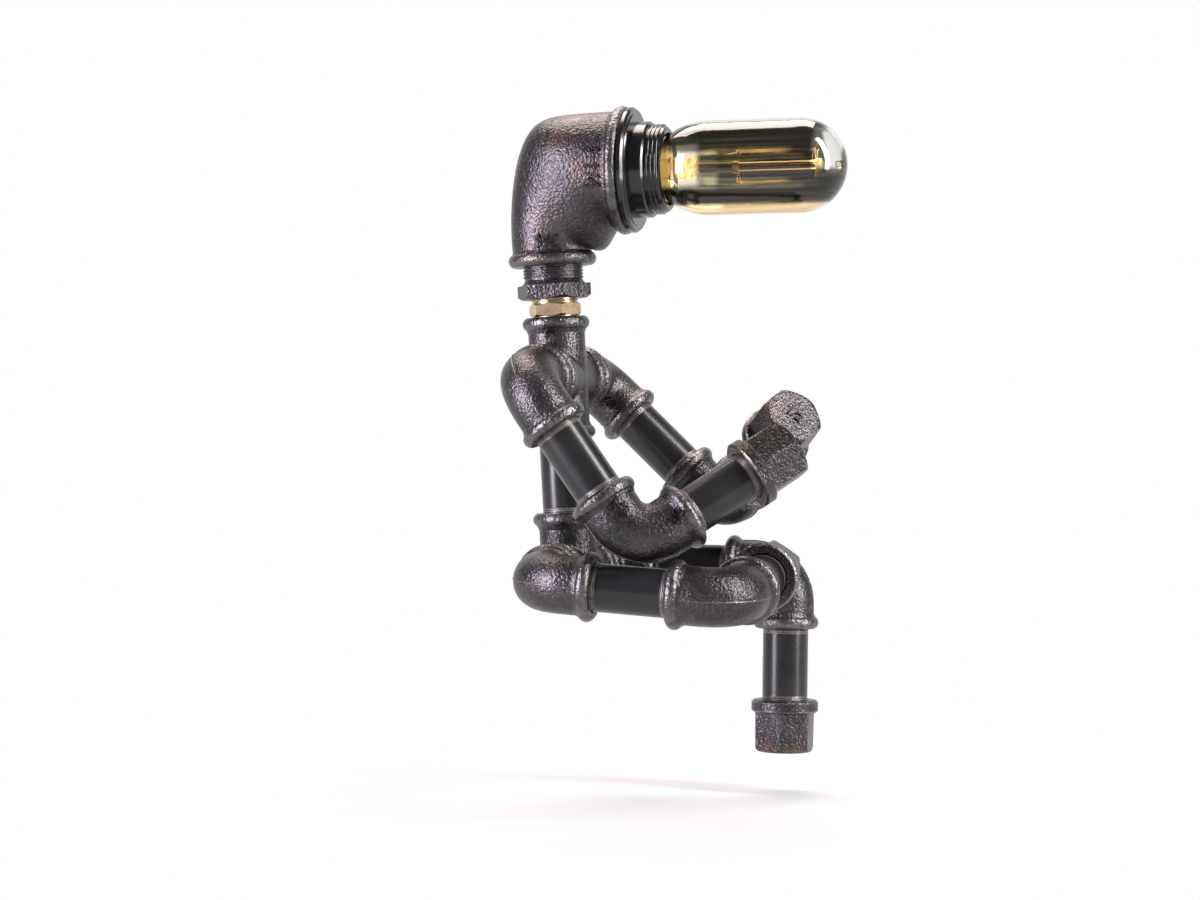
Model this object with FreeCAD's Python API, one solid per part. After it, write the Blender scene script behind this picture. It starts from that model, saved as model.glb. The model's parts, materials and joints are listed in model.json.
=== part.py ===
import FreeCAD, Part
import math
import os

from FreeCAD import Placement, Rotation, Vector

# Desk lamp: a seated figure built from malleable iron pipe fittings, lengths in millimetres.
# +X is the way the figure faces and the bulb points, +Z is up, +Y is the figure's left.
# The origin lies under the hip tee, on the plane that touches the undersides of the hip beads.

# Half-inch pipe, its thread, and the fittings that take it
PIPE_OD = 21.3
PIPE_BORE = 16.1
THREAD_OD = 20.95
THREAD_PLAY = 0.05
THREAD_GRIP = 13.2
THREAD_END_GAP = 0.6
PIPE_END_CHAMFER = 0.8
SHOULDER_CLEARANCE = 0.4

FITTING_REACH = 28.0
BODY_OD = 26.0
BODY_BORE = 16.1
BODY_BEND_RADIUS = 16.0
BEAD_OD = 30.8
BEAD_WIDTH = 5.6
BEAD_ROOT_DEPTH = 1.5
MOUTH_COUNTERSINK = 0.9
ROOT_FILLET = 2.0

# What each nipple shows between two fittings
NIPPLE_SHOWN = 33.7
FOREARM_SHOWN = 31.7
SHOULDER_GAP = 4.0
HIP_GAP = 3.6

# Hexagonal caps, the hands and feet
CAP_HEIGHT = 24.5
CAP_BAND_OD = 31.4
CAP_BAND_HEIGHT = 5.8
CAP_FLATS = 26.0
CAP_END_FLATS = 24.8
CAP_END_THICKNESS = 5.0
CAP_CORNER_CUT = 0.6
CAP_CROWN_DROP = 3.2
CAP_FACE_INSET = 3.0
CAP_BAND_EASE = 0.9

# Neck: brass hexagon nipple and iron hexagon bushing
BRASS_FLATS = 21.2
BRASS_HEX_HEIGHT = 6.0
BRASS_FOOT = 0.4
BRASS_COLLAR = 2.0
BRASS_BORE = 14.0
BUSHING_FLATS = 30.3
BUSHING_HEX_HEIGHT = 6.5
BUSHING_THREAD_OD = 26.4
BUSHING_THREAD_SHOWN = 8.5
BUSHING_THREAD_GRIP = 14.0
BUSHING_FLARE = 1.4
BUSHING_FLARE_HEIGHT = 2.2
BUSHING_END_CHAMFER = 1.0
HEX_CHAMFER_ANGLE = 30.0
HEX_CHAMFER_BITE = 0.2

# Head: reducing elbow, its small end below and its large mouth in front
HEAD_MOUTH_REACH = 38.8
HEAD_NECK_REACH = 43.0
HEAD_NECK_OD = 35.2
HEAD_NECK_BEAD_OD = 40.4
HEAD_NECK_BEAD_WIDTH = 5.8
HEAD_MOUTH_OD = 53.4
HEAD_MOUTH_BEAD_OD = 58.4
HEAD_MOUTH_BEAD_WIDTH = 5.2
HEAD_MOUTH_BORE = 39.6
HEAD_MOUTH_DEPTH = 24.8
HEAD_MOUTH_COUNTERSINK = 1.2
HEAD_CORE_BORE = 36.0
HEAD_NECK_BORE = 22.0

# How the head's casting swells between its two ends: where its crotch and its back pass
HEAD_CHIN_RISE = 6.0
HEAD_HEEL_RISE = 16.0
HEAD_NECK_SWELL = 0.6
HEAD_THROAT_AHEAD = 6.0
HEAD_THROAT_BELOW = 9.6
HEAD_THROAT_SWELL = 3.6
HEAD_BACK_HEIGHT = 6.0
HEAD_BACK_INSET = 4.2
HEAD_JAW_BACK = 10.4
HEAD_JAW_BELOW = 6.8
HEAD_CROWN_INSET = 13.6
HEAD_CROWN_DROP = 4.4
HEAD_CROWN_NARROWING = 2.4
HEAD_LIP_BACK = 6.6
HEAD_LIP_SWELL = 0.6
HEAD_BROW_AHEAD = 10.6
HEAD_FOREHEAD_BACK = 14.0
HEAD_RIM_BACK = 3.0

# E27 lampholder, measured along the head's axis from its mouth face
RING_OD = 57.0
RING_THICKNESS = 3.5
RING_HUB_OD = 52.0
RING_HUB_HEIGHT = 0.6
RING_EASE = 1.0
HOLDER_SLACK_IN_MOUTH = 0.8
HOLDER_BARREL_LENGTH = 22.8
HOLDER_COLLAR_OD = 43.6
HOLDER_COLLAR_HEIGHT = 7.0
HOLDER_SKIRT_OD = 40.0
HOLDER_SKIRT_HEIGHT = 7.5
HOLDER_BORE = 33.2
HOLDER_CORE_LEDGE = 2.0
HOLDER_BACK_WALL = 2.5
HOLDER_EDGE = 0.8
HOLDER_NOSE_LENGTH = 2.2
HOLDER_NOSE_DROP = 1.8
HOLDER_PLAY = 0.1
CORE_HEIGHT = 5.0
CORE_ROOM_BEHIND = 4.5
SHELL_WALL = 0.45
SHELL_LIP_OD = 29.4
SHELL_LIP_HEIGHT = 1.2
SHELL_SET_BACK = 1.2
TERMINAL_SCREW_OD = 4.0
TERMINAL_SPACING = 16.0
TERMINAL_SCREW_HEAD = 2.0
CONTACT_WIDTH = 6.0
CONTACT_THICKNESS = 0.6

# Tubular bulb with an E27 cap
BULB_LENGTH = 110.0
BULB_GLASS_OD = 42.6
BULB_GLASS_WALL = 0.9
BULB_CAP_OD = 26.4
BULB_CAP_LENGTH = 21.0
BULB_CAP_WALL = 0.5
BULB_CAP_PLAY = 0.08
BULB_CAP_FLOOR = 2.0
BULB_CAP_EDGE = 1.2
BULB_NECK_OD = 25.2
BULB_NECK_IN_CAP = 15.0
BULB_SHOULDER = 23.0
BULB_BUTTON_OD = 9.0
BULB_BUTTON_HEIGHT = 1.3
BULB_INSULATOR_HEIGHT = 3.2
CONTACT_GAP = 0.3
STEM_TUBE_OD = 9.0
STEM_FOOT_SET_BACK = 13.0
STEM_FOOT_HEIGHT = 1.5
STEM_FLARE_HEIGHT = 3.5
PINCH_WIDTH = 10.4
PINCH_THICKNESS = 3.6
PINCH_LENGTH = 13.0
PINCH_START = 3.4
PINCH_EDGE = 1.2
ROD_OD = 3.0
HUB_OD = 5.4
HUB_HEIGHT = 2.4
CAGE_RADIUS = 8.0
CAGE_LENGTH = 35.5
CAGE_TIP_GAP = 13.9
SUPPORT_WIRE_OD = 0.5
FILAMENT_OD = 0.4
FILAMENT_LOOPS = 5

# Lead inside the fittings and the grommet where it comes in
LEAD_OD = 5.6
LEAD_SPINE_BEND = 6.0
LEAD_START_STRAIGHT = 1.0
LEAD_HEAD_BEND = 13.0
LEAD_SPLIT_ABOVE_CHEST = 20.0
LEAD_SPLIT_GAP = 0.5
GROMMET_OD = 12.0
GROMMET_GROOVE_OD = 9.0
GROMMET_BORE = 6.0
GROMMET_FLANGE = 1.6
GROMMET_GROOVE = 4.0
GROMMET_EASE = 0.6

# How the figure sits, in degrees
TORSO_LEAN = 2.7
HEAD_MOUTH_TILT = 2.7
RIGHT_ARM_FORWARD = 34.5
RIGHT_FOREARM_INWARD = 28.0
LEFT_ARM_FORWARD = 45.6
LEFT_FOREARM_INWARD = 41.0
RIGHT_THIGH_DROP = 4.4
RIGHT_SHIN_INWARD = 94.8
LEFT_THIGH_DROP = 0.8
LEFT_SHIN_INWARD = 2.1

FORWARD = Vector(1, 0, 0)
LEFT = Vector(0, 1, 0)
UP = Vector(0, 0, 1)
ORIGIN = Vector(0, 0, 0)


def save(shape, name):
    shape.exportStep("parts/" + name + ".step")


def swung(angle):
    """A direction in the plane of the figure's walk, from straight down towards the front."""
    turn = math.radians(angle)
    return Vector(math.sin(turn), 0, -math.cos(turn))


def turned(first, second, angle):
    turn = math.radians(angle)
    return first * math.cos(turn) + second * math.sin(turn)


def seat_frame(origin, x_axis, z_axis):
    """The placement that carries local +X to x_axis and local +Z to z_axis."""
    return Placement(origin, Rotation(x_axis, z_axis.cross(x_axis), z_axis, "XZY"))


def placed(shape, placement):
    moved = shape.copy()
    moved.Placement = placement.multiply(moved.Placement)
    return moved


def rod(radius, start, end):
    return Part.makeCylinder(radius, start.distanceToPoint(end), start, end - start)


def closed_face(edges):
    return Part.Face(Part.Wire(edges))


def lathe(points, axis_point=ORIGIN, axis=FORWARD):
    """Turns an outline of (along, radius) pairs about the X axis."""
    corners = [Vector(along, 0, radius) for along, radius in points]
    outline = Part.makePolygon(corners + corners[:1])
    return Part.Face(outline).revolve(axis_point, axis, 360)


def hexagon(flats):
    radius = flats / math.sqrt(3)
    angles = [math.radians(60 * k) for k in range(7)]
    corners = [Vector(0, radius * math.cos(a), radius * math.sin(a)) for a in angles]
    return Part.Wire(Part.makePolygon(corners))


def hex_prism(flats, start, height):
    prism = Part.Face(hexagon(flats)).extrude(FORWARD * height)
    prism.translate(FORWARD * start)
    return prism


def bead(reach, outer_radius, width, body_radius):
    """A rounded bead about the X axis, its flat face at reach."""
    root = body_radius - BEAD_ROOT_DEPTH
    front_edge = outer_radius - 0.32 * width
    middle = reach - 0.5 * width
    front = Vector(reach, 0, front_edge)
    crown = Vector(middle, 0, outer_radius)
    back = Vector(reach - width, 0, body_radius + 0.15 * width)
    foot = Vector(reach - 1.35 * width, 0, body_radius - 0.01)
    edges = [
        Part.makeLine(Vector(reach, 0, root), front),
        Part.Arc(front, crown, back).toShape(),
        Part.makeLine(back, foot),
        Part.makeLine(foot, Vector(foot.x, 0, root)),
        Part.makeLine(Vector(foot.x, 0, root), Vector(reach, 0, root)),
    ]
    return closed_face(edges).revolve(ORIGIN, FORWARD, 360)


def socket(reach, thread_od, grip):
    """The tapped hole that a thread enters, with its countersunk mouth, about the X axis."""
    radius = thread_od / 2 + THREAD_PLAY
    depth = grip + THREAD_END_GAP
    wide = radius + MOUTH_COUNTERSINK
    points = [(reach - depth, 0), (reach - depth, radius), (reach - MOUTH_COUNTERSINK, radius)]
    points += [(reach, wide), (reach + 1, wide), (reach + 1, 0)]
    return lathe(points)


def port(direction, side):
    return seat_frame(ORIGIN, direction, side)


def half_inch_port(direction, side):
    frame = port(direction, side)
    ring = placed(bead(FITTING_REACH, BEAD_OD / 2, BEAD_WIDTH, BODY_OD / 2), frame)
    hole = placed(socket(FITTING_REACH, THREAD_OD, THREAD_GRIP), frame)
    return ring, hole


def half_inch_fitting(body, ports, core):
    rings, holes = zip(*[half_inch_port(direction, side) for direction, side in ports])
    solid = body.fuse(list(rings)).removeSplitter()
    return solid.cut(list(holes) + [core])


def bent_tube(radius):
    """A round solid from the X port's face round the corner to the Z port's face."""
    turn = BODY_BEND_RADIUS
    section = Part.Face(Part.Wire(Part.makeCircle(radius, Vector(turn, 0, 0), FORWARD)))
    bend = section.revolve(Vector(turn, 0, turn), LEFT, 90)
    x_run = rod(radius, FORWARD * turn, FORWARD * FITTING_REACH)
    z_run = rod(radius, UP * turn, UP * FITTING_REACH)
    return bend.fuse([x_run, z_run])


def elbow_fitting():
    """Ports along +X and +Z."""
    body = bent_tube(BODY_OD / 2)
    core = bent_tube(BODY_BORE / 2)
    return half_inch_fitting(body, [(FORWARD, UP), (UP, LEFT)], core)


def straight_body(direction, radius, both_ways):
    start = direction * -FITTING_REACH if both_ways else ORIGIN
    return rod(radius, start, direction * FITTING_REACH)


def cross_fitting():
    """Ports along +Z, -Z, +Y and -Y."""
    upright = straight_body(UP, BODY_OD / 2, True)
    arms = straight_body(LEFT, BODY_OD / 2 - 0.1, True)
    body = upright.fuse(arms)
    body = body.makeFillet(ROOT_FILLET, inner_edges(body))
    ports = [(UP, LEFT), (UP * -1, LEFT), (LEFT, UP), (LEFT * -1, UP)]
    bore = BODY_BORE / 2
    core = straight_body(UP, bore, True).fuse(straight_body(LEFT, bore, True))
    return half_inch_fitting(body, ports, core)


def tee_fitting():
    """Ports along +Z, +Y and -Y, with the lead's hole in the back."""
    arms = straight_body(LEFT, BODY_OD / 2, True)
    upright = straight_body(UP, BODY_OD / 2 - 0.1, False)
    body = arms.fuse(upright)
    body = body.makeFillet(ROOT_FILLET, inner_edges(body))
    bore = BODY_BORE / 2
    core = straight_body(UP, bore, False).fuse(straight_body(LEFT, bore, True))
    solid = half_inch_fitting(body, [(UP, LEFT), (LEFT, UP), (LEFT * -1, UP)], core)
    hole = rod(GROMMET_GROOVE_OD / 2, FORWARD * -BODY_OD, ORIGIN)
    return solid.cut(hole)


def inner_edges(body):
    """The edges where two round branches meet, all within the fitting's middle."""
    limit = BODY_OD / 2 + 0.5
    found = []
    for edge in body.Edges:
        box = edge.BoundBox
        if max(abs(box.YMin), abs(box.YMax), abs(box.ZMin), abs(box.ZMax)) < limit:
            if edge.Length > 1:
                found.append(edge)
    return found


def nipple(shown, engaged_far=THREAD_GRIP):
    """A pipe nipple along +X. Its plain barrel starts at x = 0, both threads are past its ends."""
    thread = THREAD_OD / 2
    barrel = PIPE_OD / 2
    chamfer = PIPE_END_CHAMFER
    start = SHOULDER_CLEARANCE
    end = shown - SHOULDER_CLEARANCE
    far = shown + engaged_far
    points = [
        (-THREAD_GRIP, thread - chamfer),
        (-THREAD_GRIP + chamfer, thread),
        (start, thread),
        (start, barrel),
        (end, barrel),
        (end, thread),
        (far - chamfer, thread),
        (far, thread - chamfer),
        (far, PIPE_BORE / 2),
        (-THREAD_GRIP, PIPE_BORE / 2),
    ]
    return lathe(points)


def close_nipple(shown):
    """A nipple threaded from end to end, along +X from the first fitting's face."""
    thread = THREAD_OD / 2
    chamfer = PIPE_END_CHAMFER
    far = shown + THREAD_GRIP
    points = [
        (-THREAD_GRIP, thread - chamfer),
        (-THREAD_GRIP + chamfer, thread),
        (far - chamfer, thread),
        (far, thread - chamfer),
        (far, PIPE_BORE / 2),
        (-THREAD_GRIP, PIPE_BORE / 2),
    ]
    return lathe(points)


def cap_fitting():
    """A hexagonal cap along +X: its mouth at x = 0, its closed end at CAP_HEIGHT."""
    end_outline = hexagon(CAP_END_FLATS)
    end_outline.translate(FORWARD * CAP_HEIGHT)
    hexagonal = Part.makeLoft([hexagon(CAP_FLATS), end_outline], True, True)
    wide = CAP_FLATS / math.sqrt(3) - CAP_CORNER_CUT
    face_radius = wide - CAP_FACE_INSET
    shoulder = Vector(CAP_HEIGHT - CAP_CROWN_DROP, 0, wide)
    end = Vector(CAP_HEIGHT, 0, face_radius)
    chord = end - shoulder
    bulge = shoulder + chord * 0.5 + Vector(-chord.z, 0, chord.x) * 0.2
    edges = [
        Part.makeLine(ORIGIN, Vector(0, 0, wide)),
        Part.makeLine(Vector(0, 0, wide), shoulder),
        Part.Arc(shoulder, bulge, end).toShape(),
        Part.makeLine(end, Vector(CAP_HEIGHT, 0, 0)),
        Part.makeLine(Vector(CAP_HEIGHT, 0, 0), ORIGIN),
    ]
    envelope = closed_face(edges).revolve(ORIGIN, FORWARD, 360)
    band_radius = CAP_BAND_OD / 2
    ease = CAP_BAND_EASE
    band = lathe(
        [
            (0, 0),
            (0, band_radius - ease),
            (ease, band_radius),
            (CAP_BAND_HEIGHT - ease, band_radius),
            (CAP_BAND_HEIGHT, band_radius - ease),
            (CAP_BAND_HEIGHT, 0),
        ]
    )
    solid = hexagonal.common(envelope).fuse(band).removeSplitter()
    depth = CAP_HEIGHT - CAP_END_THICKNESS
    radius = THREAD_OD / 2 + THREAD_PLAY
    wide_mouth = radius + MOUTH_COUNTERSINK
    mouth = [(-1, 0), (-1, wide_mouth), (0, wide_mouth), (MOUTH_COUNTERSINK, radius)]
    return solid.cut(lathe(mouth + [(depth, radius), (depth, 0)]))


def chamfered_hex(flats, start, height, chamfer_start, chamfer_end):
    """A hexagon along +X whose corners are turned off at the chosen ends."""
    corner = flats / math.sqrt(3)
    inner = flats / 2 - HEX_CHAMFER_BITE
    drop = (corner - inner) * math.tan(math.radians(HEX_CHAMFER_ANGLE))
    end = start + height
    low = (start, inner) if chamfer_start else (start, corner)
    high = (end, inner) if chamfer_end else (end, corner)
    points = [(start, 0), low, (start + drop, corner), (end - drop, corner), high, (end, 0)]
    return hex_prism(flats, start, height).common(lathe(points))


def brass_nipple():
    """The neck's hexagon nipple along +X, x = 0 on the chest cross's top face."""
    thread = THREAD_OD / 2
    hex_start = BRASS_FOOT
    hex_end = hex_start + BRASS_HEX_HEIGHT
    top = hex_end + BRASS_COLLAR + THREAD_GRIP
    chamfer = PIPE_END_CHAMFER
    stem = lathe(
        [
            (-THREAD_GRIP, thread - chamfer),
            (-THREAD_GRIP + chamfer, thread),
            (top - chamfer, thread),
            (top, thread - chamfer),
            (top, BRASS_BORE / 2),
            (-THREAD_GRIP, BRASS_BORE / 2),
        ]
    )
    bore = lathe([(0, 0), (0, BRASS_BORE / 2), (top, BRASS_BORE / 2), (top, 0)])
    hexagonal = chamfered_hex(BRASS_FLATS, hex_start, BRASS_HEX_HEIGHT, True, True)
    return stem.fuse(hexagonal.cut(bore))


def neck_bushing():
    """The iron bushing along +X, x = 0 on the underside of its hexagon."""
    thread = BUSHING_THREAD_OD / 2
    hex_end = BUSHING_HEX_HEIGHT
    shown_end = hex_end + BUSHING_THREAD_SHOWN
    top = shown_end + BUSHING_THREAD_GRIP
    flare = thread + BUSHING_FLARE
    chamfer = BUSHING_END_CHAMFER
    stem = lathe(
        [
            (0, 0),
            (0, flare),
            (hex_end, flare),
            (hex_end + BUSHING_FLARE_HEIGHT, thread),
            (top - chamfer, thread),
            (top, thread - chamfer),
            (top, 0),
        ]
    )
    solid = stem.fuse(chamfered_hex(BUSHING_FLATS, 0, BUSHING_HEX_HEIGHT, True, False))
    tapped = THREAD_OD / 2 + THREAD_PLAY
    depth = THREAD_GRIP + THREAD_END_GAP
    core = BODY_BORE / 2
    tapping = [(-1, 0), (-1, tapped), (depth, tapped), (depth, core)]
    return solid.cut(lathe(tapping + [(top + 1, core), (top + 1, 0)]))


def head_section(inner, outer, half_width):
    """An oval rib of the head's casting, between a point of its crotch and one of its back."""
    centre = (inner + outer) * 0.5
    across = outer - inner
    half_length = across.Length / 2
    across.normalize()
    if half_length - half_width < 0.01:
        curve = Part.Circle(centre, LEFT.cross(across), half_width)
    else:
        curve = Part.Ellipse(centre + across * half_length, centre + LEFT * half_width, centre)
    curve.Axis = LEFT.cross(across)
    curve.XAxis = across
    return Part.Wire(curve.toShape())


def head_fitting():
    """The reducing elbow: its mouth along +X, its neck downwards and a little off square."""
    neck = HEAD_NECK_OD / 2
    mouth = HEAD_MOUTH_OD / 2
    front = HEAD_MOUTH_REACH
    down = swung(HEAD_MOUTH_TILT)
    ahead = swung(HEAD_MOUTH_TILT + 90)
    low = down * HEAD_NECK_REACH
    swollen = neck + HEAD_NECK_SWELL
    chin = low + ahead * swollen - down * HEAD_CHIN_RISE
    heel = low - ahead * swollen - down * HEAD_HEEL_RISE
    throat = Vector(neck + HEAD_THROAT_AHEAD, 0, -mouth - HEAD_THROAT_BELOW)
    back = Vector(HEAD_BACK_INSET - neck, 0, HEAD_BACK_HEIGHT)
    jaw = Vector(front - HEAD_JAW_BACK, 0, -mouth - HEAD_JAW_BELOW)
    crown = Vector(HEAD_CROWN_INSET - neck, 0, mouth - HEAD_CROWN_DROP)
    lip = Vector(front - HEAD_LIP_BACK, 0, -mouth - HEAD_LIP_SWELL)
    brow = Vector(HEAD_BROW_AHEAD, 0, mouth - HEAD_LIP_SWELL)
    rim = Vector(front - HEAD_RIM_BACK, 0, -mouth)
    forehead = Vector(front - HEAD_FOREHEAD_BACK, 0, mouth)
    ribs = [
        (low + ahead * neck, low - ahead * neck, neck),
        (chin, heel, swollen),
        (throat, back, neck + HEAD_THROAT_SWELL),
        (jaw, crown, mouth - HEAD_CROWN_NARROWING),
        (lip, brow, mouth - HEAD_LIP_SWELL),
        (rim, forehead, mouth),
        (Vector(front, 0, -mouth), Vector(front, 0, mouth), mouth),
    ]
    body = Part.makeLoft([head_section(*rib) for rib in ribs], True, False)
    mouth_bead = bead(front, HEAD_MOUTH_BEAD_OD / 2, HEAD_MOUTH_BEAD_WIDTH, mouth)
    neck_frame = port(down, LEFT)
    neck_ring = bead(HEAD_NECK_REACH, HEAD_NECK_BEAD_OD / 2, HEAD_NECK_BEAD_WIDTH, neck)
    neck_hole = socket(HEAD_NECK_REACH, BUSHING_THREAD_OD, BUSHING_THREAD_GRIP)
    solid = body.fuse([mouth_bead, placed(neck_ring, neck_frame)]).removeSplitter()
    deep = front - HEAD_MOUTH_DEPTH
    wide = HEAD_MOUTH_BORE / 2
    sink = HEAD_MOUTH_COUNTERSINK
    mouth_points = [(deep, 0), (deep, wide), (front - sink, wide), (front, wide + sink)]
    mouth_hole = lathe(mouth_points + [(front + 1, wide + sink), (front + 1, 0)])
    core = rod(HEAD_CORE_BORE / 2, ORIGIN, FORWARD * front)
    corner = Part.makeSphere(HEAD_NECK_BORE / 2)
    neck_core = rod(HEAD_NECK_BORE / 2, ORIGIN, low)
    return solid.cut([mouth_hole, placed(neck_hole, neck_frame), core, corner, neck_core])


# Places along the head's axis, from the head's centre
RING_BACK = HEAD_MOUTH_REACH
RING_FRONT = RING_BACK + RING_THICKNESS
COLLAR_BACK = RING_FRONT + RING_HUB_HEIGHT
COLLAR_FRONT = COLLAR_BACK + HOLDER_COLLAR_HEIGHT
SKIRT_FRONT = COLLAR_FRONT + HOLDER_SKIRT_HEIGHT
BARREL_BACK = HEAD_MOUTH_REACH - HOLDER_BARREL_LENGTH
CORE_BACK = BARREL_BACK + HOLDER_BACK_WALL + CORE_ROOM_BEHIND
CORE_FRONT = CORE_BACK + CORE_HEIGHT
SHELL_FRONT = SKIRT_FRONT - SHELL_SET_BACK
SHELL_INSIDE = BULB_CAP_OD / 2 + BULB_CAP_PLAY
BARREL_RADIUS = HEAD_MOUTH_BORE / 2 - HOLDER_SLACK_IN_MOUTH
BULB_BACK = CORE_FRONT + CONTACT_THICKNESS + CONTACT_GAP
BULB_CAP_BACK = BULB_BACK + BULB_BUTTON_HEIGHT + BULB_INSULATOR_HEIGHT
BULB_CAP_FRONT = BULB_CAP_BACK + BULB_CAP_LENGTH
BULB_TIP = BULB_BACK + BULB_LENGTH


def holder_ring():
    bore = BARREL_RADIUS + HOLDER_PLAY
    rim = RING_OD / 2
    hub = RING_HUB_OD / 2
    ease = RING_EASE
    return lathe(
        [
            (RING_BACK, bore),
            (RING_BACK, rim - ease),
            (RING_BACK + ease, rim),
            (RING_FRONT - ease, rim),
            (RING_FRONT, rim - ease),
            (RING_FRONT, hub),
            (COLLAR_BACK, hub - ease / 2),
            (COLLAR_BACK, bore),
        ]
    )


def holder_body():
    barrel = BARREL_RADIUS
    collar = HOLDER_COLLAR_OD / 2
    skirt = HOLDER_SKIRT_OD / 2
    bore = HOLDER_BORE / 2
    lead = LEAD_OD / 2 + HOLDER_PLAY
    floor = BARREL_BACK + HOLDER_BACK_WALL
    edge = HOLDER_EDGE
    nose = HOLDER_NOSE_DROP
    return lathe(
        [
            (BARREL_BACK, lead),
            (BARREL_BACK, barrel - edge),
            (BARREL_BACK + edge, barrel),
            (COLLAR_BACK, barrel),
            (COLLAR_BACK, collar),
            (COLLAR_FRONT - edge, collar),
            (COLLAR_FRONT, collar - edge),
            (COLLAR_FRONT, skirt),
            (SKIRT_FRONT - HOLDER_NOSE_LENGTH, skirt),
            (SKIRT_FRONT - HOLDER_NOSE_LENGTH / 4, skirt - nose / 2),
            (SKIRT_FRONT, skirt - nose),
            (SKIRT_FRONT, bore),
            (CORE_BACK, bore),
            (CORE_BACK, bore - HOLDER_CORE_LEDGE),
            (floor, bore - HOLDER_CORE_LEDGE),
            (floor, lead),
        ]
    )


def holder_core():
    radius = HOLDER_BORE / 2 - HOLDER_PLAY
    return rod(radius, FORWARD * CORE_BACK, FORWARD * CORE_FRONT)


def screw_shell():
    inner = SHELL_INSIDE
    outer = inner + SHELL_WALL
    lip = SHELL_LIP_OD / 2
    lip_back = SHELL_FRONT - SHELL_LIP_HEIGHT
    floor_hole = BULB_BUTTON_OD / 2 + 1.5
    return lathe(
        [
            (CORE_FRONT, floor_hole),
            (CORE_FRONT, outer),
            (lip_back, outer),
            (SHELL_FRONT, lip),
            (SHELL_FRONT, lip - SHELL_WALL),
            (lip_back, inner),
            (CORE_FRONT + SHELL_WALL, inner),
            (CORE_FRONT + SHELL_WALL, floor_hole),
        ]
    )


def centre_contact():
    half = CONTACT_WIDTH / 2
    corner = Vector(CORE_FRONT, -half, -half)
    return Part.makeBox(CONTACT_THICKNESS, CONTACT_WIDTH, CONTACT_WIDTH, corner)


def terminal_screws():
    screws = []
    for side in (-1, 1):
        seat = Vector(CORE_BACK, side * TERMINAL_SPACING / 2, 0)
        screws.append(rod(TERMINAL_SCREW_OD / 2, seat - FORWARD * TERMINAL_SCREW_HEAD, seat))
    return Part.makeCompound(screws)


def bulb_cap():
    outer = BULB_CAP_OD / 2
    inner = outer - BULB_CAP_WALL
    edge = BULB_CAP_EDGE
    return lathe(
        [
            (BULB_CAP_BACK, inner - BULB_CAP_FLOOR),
            (BULB_CAP_BACK, outer - edge),
            (BULB_CAP_BACK + edge, outer),
            (BULB_CAP_FRONT, outer),
            (BULB_CAP_FRONT, inner),
            (BULB_CAP_BACK + edge, inner),
            (BULB_CAP_BACK + edge, inner - BULB_CAP_FLOOR),
        ]
    )


def bulb_insulator():
    back = BULB_BACK + BULB_BUTTON_HEIGHT
    front = BULB_CAP_BACK + BULB_CAP_EDGE
    wide = BULB_CAP_OD / 2 - BULB_CAP_WALL - BULB_CAP_FLOOR
    narrow = (BULB_BUTTON_OD / 2 + wide) / 2
    return lathe([(back, 0), (back, narrow), (BULB_CAP_BACK, wide), (front, wide), (front, 0)])


def bulb_contact():
    radius = BULB_BUTTON_OD / 2
    back = BULB_BACK
    front = BULB_BACK + BULB_BUTTON_HEIGHT
    return lathe([(back, 0), (back, radius / 2), (front, radius), (front, 0)])


def glass_form(wall):
    """The outline of the bulb's glass taken in by a wall, as a solid."""
    neck = BULB_NECK_OD / 2 - wall
    radius = BULB_GLASS_OD / 2 - wall
    neck_back = BULB_CAP_FRONT - BULB_NECK_IN_CAP
    shoulder_front = BULB_CAP_FRONT + BULB_SHOULDER
    dome_back = BULB_TIP - BULB_GLASS_OD / 2
    reach = math.sqrt(0.5)
    rise = Vector(BULB_CAP_FRONT + 0.33 * BULB_SHOULDER, 0, neck + 0.62 * (radius - neck))
    shoulder = Part.Arc(Vector(BULB_CAP_FRONT, 0, neck), rise, Vector(shoulder_front, 0, radius))
    crest = Vector(dome_back + radius * reach, 0, radius * reach)
    dome = Part.Arc(Vector(dome_back, 0, radius), crest, Vector(dome_back + radius, 0, 0))
    edges = [
        Part.makeLine(Vector(neck_back, 0, 0), Vector(neck_back, 0, neck)),
        Part.makeLine(Vector(neck_back, 0, neck), Vector(BULB_CAP_FRONT, 0, neck)),
        shoulder.toShape(),
        Part.makeLine(Vector(shoulder_front, 0, radius), Vector(dome_back, 0, radius)),
        dome.toShape(),
        Part.makeLine(Vector(dome_back + radius, 0, 0), Vector(neck_back, 0, 0)),
    ]
    return closed_face(edges).revolve(ORIGIN, FORWARD, 360)


def bulb_glass():
    return glass_form(0).cut(glass_form(BULB_GLASS_WALL))


PINCH_BACK = BULB_CAP_FRONT + PINCH_START
PINCH_FRONT = PINCH_BACK + PINCH_LENGTH
CAGE_FRONT = BULB_TIP - CAGE_TIP_GAP
CAGE_BACK = CAGE_FRONT - CAGE_LENGTH


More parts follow.
